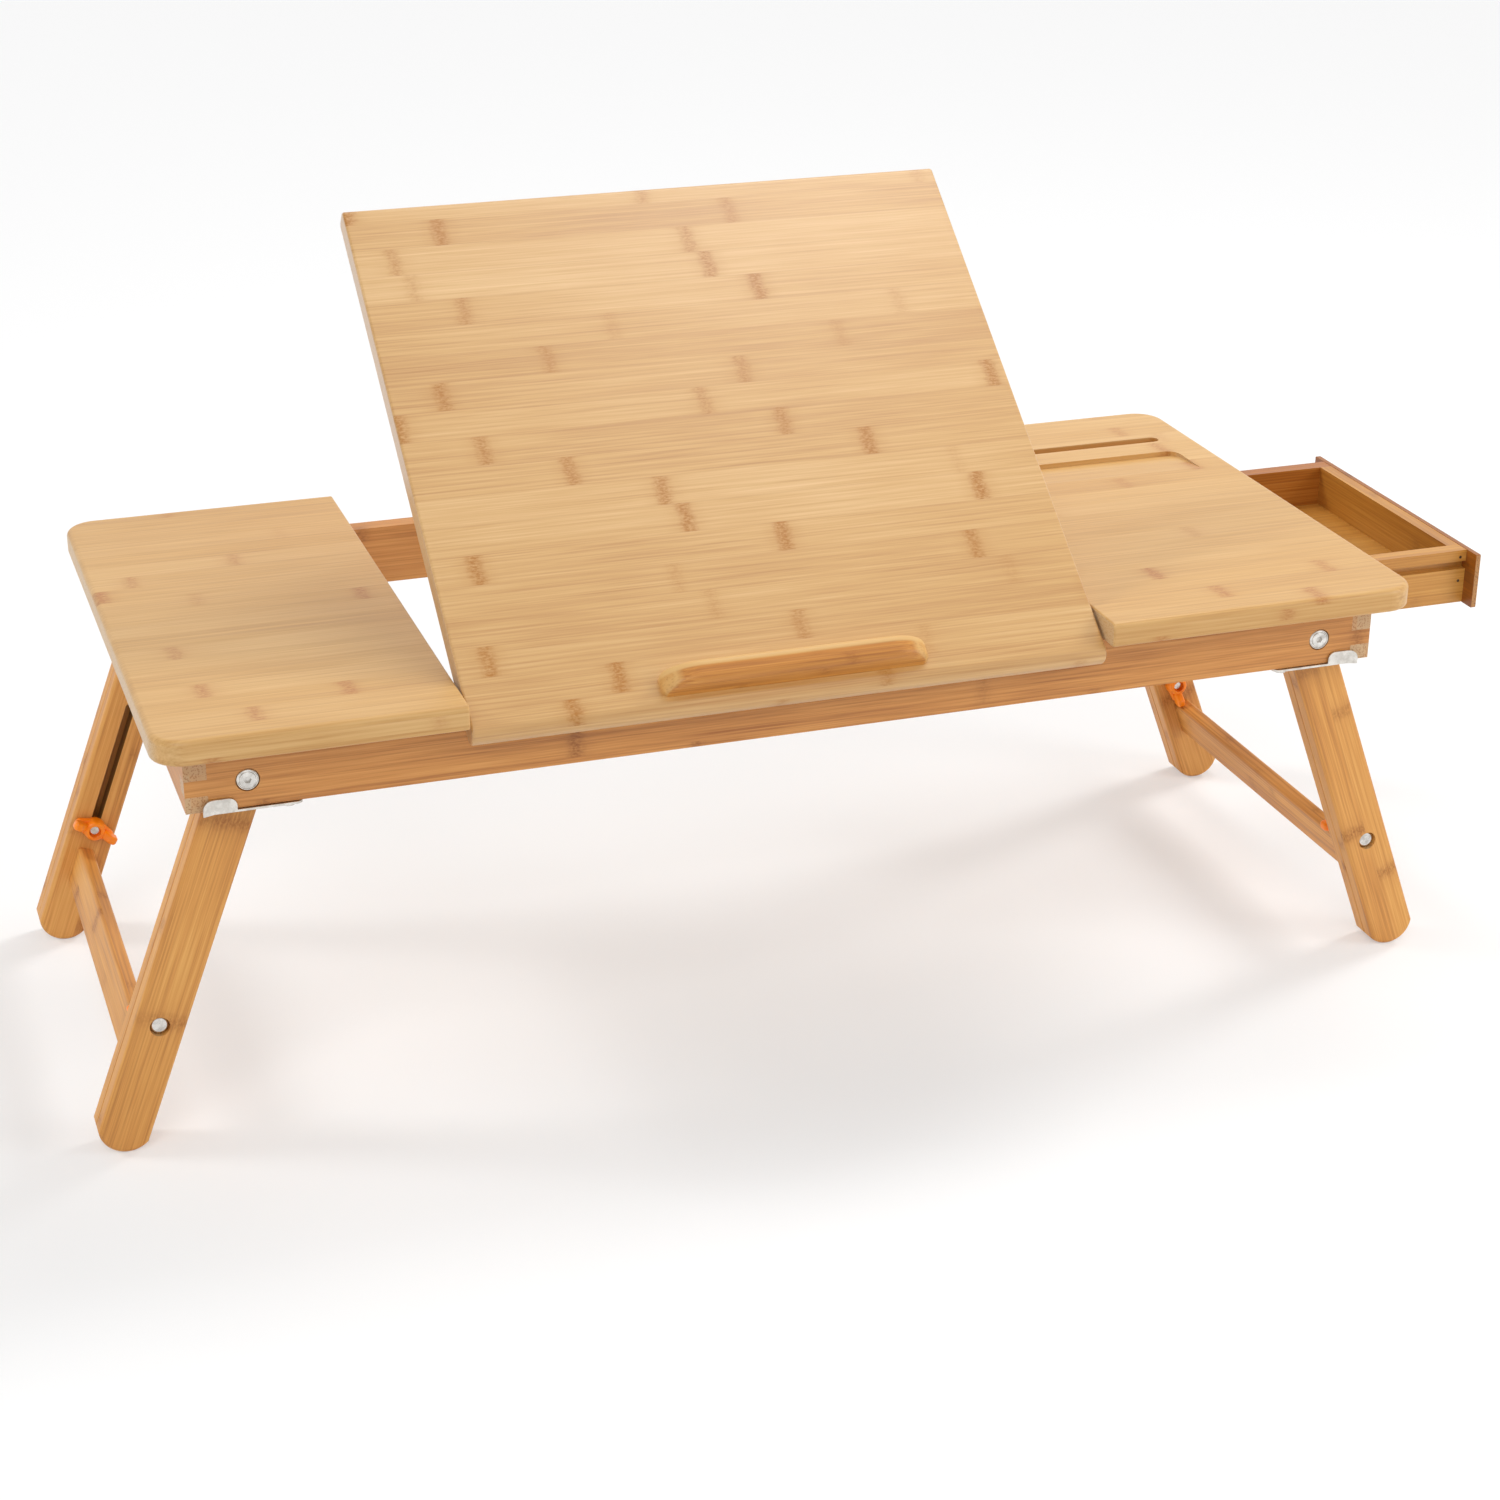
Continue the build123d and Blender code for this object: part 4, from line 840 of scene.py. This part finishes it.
@dataclass
class LegPair:
    """The legs at one end of the desk, with their stretcher and wing nuts.

    Each seed sets a board's strips apart.
    """

    side: Side
    orange: bpy.types.Material
    lean_deg: float = 20.5
    middle_seed: float = 61.0
    side_seed_step: float = 4.4
    board_seed_step: float = 1.37
    stretcher_seed_step: float = 2.2

    def grain_turn(self) -> Euler:
        """Turn that lays the grain's X axis up the leg."""
        lean = math.radians(self.lean_deg)
        return Euler((0, math.atan2(-math.cos(lean), -self.side.value * math.sin(lean)), 0))

    def dress(self) -> None:
        """Lays the grain along each leg board and the stretcher."""
        tag = self.side.name.lower()
        turn = self.grain_turn()
        seed = self.middle_seed + self.side.value * self.side_seed_step
        for end in ("front", "back"):
            # The grain is measured from the lock bolt, where the slot with its painted shade starts.
            low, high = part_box(f"lock_bolt_{end}_{tag}")
            middle = (low + high) / 2
            for board, finish in (("leg_outer", LEG_BAMBOO), ("leg_inner", SLIDER_BAMBOO)):
                node = f"{board}_{end}_{tag}"
                seed += self.board_seed_step
                origin = Vector((middle.x, corner(node).y, middle.z))
                dress(node, finish.material(node, GrainFrame(origin, turn, Across.Z), seed))
            dress(f"wing_nut_{end}_{tag}", self.orange)
        node = f"stretcher_{tag}"
        grain = GrainFrame(corner(node), QUARTER_TURN, Across.Z)
        dress(node, LEG_BAMBOO.material(node, grain, seed + self.stretcher_seed_step))


@dataclass(frozen=True)
class SoftSun:
    """A broad lamp far off: the way its light goes, its strength, its width and if it is mirrored."""

    name: str
    way: tuple[float, float, float]
    strength: float
    soft_deg: float
    mirrored: bool = True


@dataclass(frozen=True)
class Softbox:
    """A square lamp near the desk: its place, its side in metres and its power in watts."""

    name: str
    place: tuple[float, float, float]
    size: float
    power: float


@dataclass
class Studio:
    """Pale floor, soft light and the camera of the photograph.

    Lengths are in metres where no unit is named.
    """

    # Matt floor. Its glow is the share of it that is white by itself.
    floor_size: float = 30.0
    floor_colour: str = "#F8F8F8"
    floor_roughness: float = 0.9
    floor_glow: float = 0.35
    # Sky as it lights the desk, and the lamps.
    sky_strength: float = 0.4
    sun_height: float = 2.0
    suns: tuple[SoftSun, ...] = (
        SoftSun("key", (0.35, 0.75, -0.8), 0.85, 35.0),
        SoftSun("right_rim", (-0.75, -0.33, -0.55), 1.15, 16.0, mirrored=False),
        SoftSun("left_rim", (0.75, -0.33, -0.55), 0.9, 16.0, mirrored=False),
    )
    boxes: tuple[Softbox, ...] = (
        Softbox("softbox_top", (0.6, 0.44, 1.9), 0.8, 8.0),
        Softbox("softbox_front", (1.6, -1.2, 1.0), 0.8, 10.0),
    )
    box_target: tuple[float, float, float] = (0.0, 0.0, 0.2)
    # Camera, placed from the middle of the table's top.
    camera_from_top: tuple[float, float, float] = (-0.52421, -1.56159, 0.60493)
    yaw_deg: float = 19.089
    pitch_deg: float = 23.921
    roll_deg: float = 0.3205
    focal_px: float = 2993.26
    image_px: float = 1500.0
    sensor_mm: float = 36.0
    far_clip: float = 100.0

    def build(self) -> None:
        """Makes the floor, the light and the camera."""
        self.build_floor()
        self.build_light()
        self.build_camera()

    def build_floor(self) -> None:
        """Lays the floor at the feet."""
        bpy.ops.object.select_all(action="DESELECT")
        bpy.ops.mesh.primitive_plane_add(size=self.floor_size, location=(0, 0, CAD_BOX[0][2]))
        floor = bpy.context.object
        floor.name = "floor"
        material, tree, shader = new_material("studio_floor")
        shader.inputs["Base Color"].default_value = linear(self.floor_colour)
        shader.inputs["Roughness"].default_value = self.floor_roughness
        shader.inputs["Specular IOR Level"].default_value = 0.0
        # Seen directly or in metal, the floor is part white of its own and part lit, so shadows are soft.
        direct = self.seen_directly(tree)
        share = add_node(tree, "Math", {0: direct, 1: self.floor_glow}, operation="MULTIPLY")
        white = add_node(tree, "Emission", {"Color": (1, 1, 1, 1), "Strength": 1.0})
        blend = add_node(tree, "MixShader", {0: share, 1: shader, 2: white})
        tree.links.new(blend.outputs[0], tree.nodes["Material Output"].inputs["Surface"])
        floor.data.materials.append(material)

    def seen_directly(self, tree: bpy.types.NodeTree) -> bpy.types.Node:
        """Adds nodes that tell rays of the camera, of mirrors and of glass from scattered light.

        Args:
            tree: The tree that the nodes go into.

        Returns:
            A node whose value is 1 on those rays and 0 on others.
        """
        path = add_node(tree, "LightPath")
        rays = [path.outputs[f"Is {kind} Ray"] for kind in ("Camera", "Glossy", "Transmission")]
        sharp = add_node(tree, "Math", {0: rays[1], 1: rays[2]}, operation="MAXIMUM")
        return add_node(tree, "Math", {0: rays[0], 1: sharp}, operation="MAXIMUM")

    def build_light(self) -> None:
        """Sets an even sky, a soft key, two rims from behind, and softboxes above and at the right."""
        world = bpy.data.worlds.new("studio_sky")
        world.use_nodes = True
        bpy.context.scene.world = world
        tree = world.node_tree
        direct = self.seen_directly(tree)
        lift = add_node(tree, "MapRange", {"Value": direct, "To Min": self.sky_strength, "To Max": 1.0})
        sky = tree.nodes["Background"]
        sky.inputs["Color"].default_value = (1, 1, 1, 1)
        tree.links.new(lift.outputs[0], sky.inputs["Strength"])
        for sun in self.suns:
            lamp = bpy.data.lights.new(sun.name, "SUN")
            lamp.energy = sun.strength
            lamp.angle = math.radians(sun.soft_deg)
            holder = self.hang(lamp, Vector((0, 0, self.sun_height)), Vector(sun.way))
            holder.visible_glossy = sun.mirrored
        for box in self.boxes:
            lamp = bpy.data.lights.new(box.name, "AREA")
            lamp.shape = "SQUARE"
            lamp.size = box.size
            lamp.energy = box.power
            self.hang(lamp, Vector(box.place), Vector(self.box_target) - Vector(box.place))

    def hang(self, lamp: bpy.types.Light, place: Vector, way: Vector) -> bpy.types.Object:
        """Puts a lamp in the scene.

        Args:
            lamp: The lamp.
            place: Where it hangs.
            way: Which way it shines.

        Returns:
            The object that holds the lamp.
        """
        holder = bpy.data.objects.new(lamp.name, lamp)
        holder.location = place
        holder.rotation_euler = way.to_track_quat("-Z", "Y").to_euler()
        bpy.context.scene.collection.objects.link(holder)
        return holder

    def build_camera(self) -> None:
        """Places the camera from the middle of the table's top."""
        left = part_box("left_panel")
        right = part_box("right_panel")
        top = Vector(((left[0].x + right[1].x) / 2, (left[0].y + left[1].y) / 2, right[1].z))
        yaw = math.radians(self.yaw_deg)
        pitch = math.radians(self.pitch_deg)
        roll = math.radians(self.roll_deg)
        flat = math.cos(pitch)
        ahead = Vector((math.sin(yaw) * flat, math.cos(yaw) * flat, -math.sin(pitch)))
        level = Vector((math.cos(yaw), -math.sin(yaw), 0))
        upright = level.cross(ahead)
        right_way = math.cos(roll) * level + math.sin(roll) * upright
        up_way = -math.sin(roll) * level + math.cos(roll) * upright
        camera = bpy.data.cameras.new("photo_camera")
        camera.sensor_width = self.sensor_mm
        camera.lens = self.sensor_mm * self.focal_px / self.image_px
        camera.clip_end = self.far_clip
        holder = bpy.data.objects.new("photo_camera", camera)
        turn = Matrix((right_way, up_way, -ahead)).transposed()
        holder.matrix_world = Matrix.Translation(top + Vector(self.camera_from_top)) @ turn.to_4x4()
        bpy.context.scene.collection.objects.link(holder)
        bpy.context.scene.camera = holder


def main() -> None:
    """Dresses every sub-assembly and stages the desk."""
    logging.basicConfig(level=logging.INFO, format="%(name)s: %(message)s")
    bpy.context.scene.view_settings.view_transform = "Standard"
    TableTop().dress()
    RailFrame().dress()
    Drawer().dress()
    orange = ORANGE.material()
    for side in Side:
        LegPair(side, orange).dress()
    Studio().build()


if __name__ == "__main__":
    main()
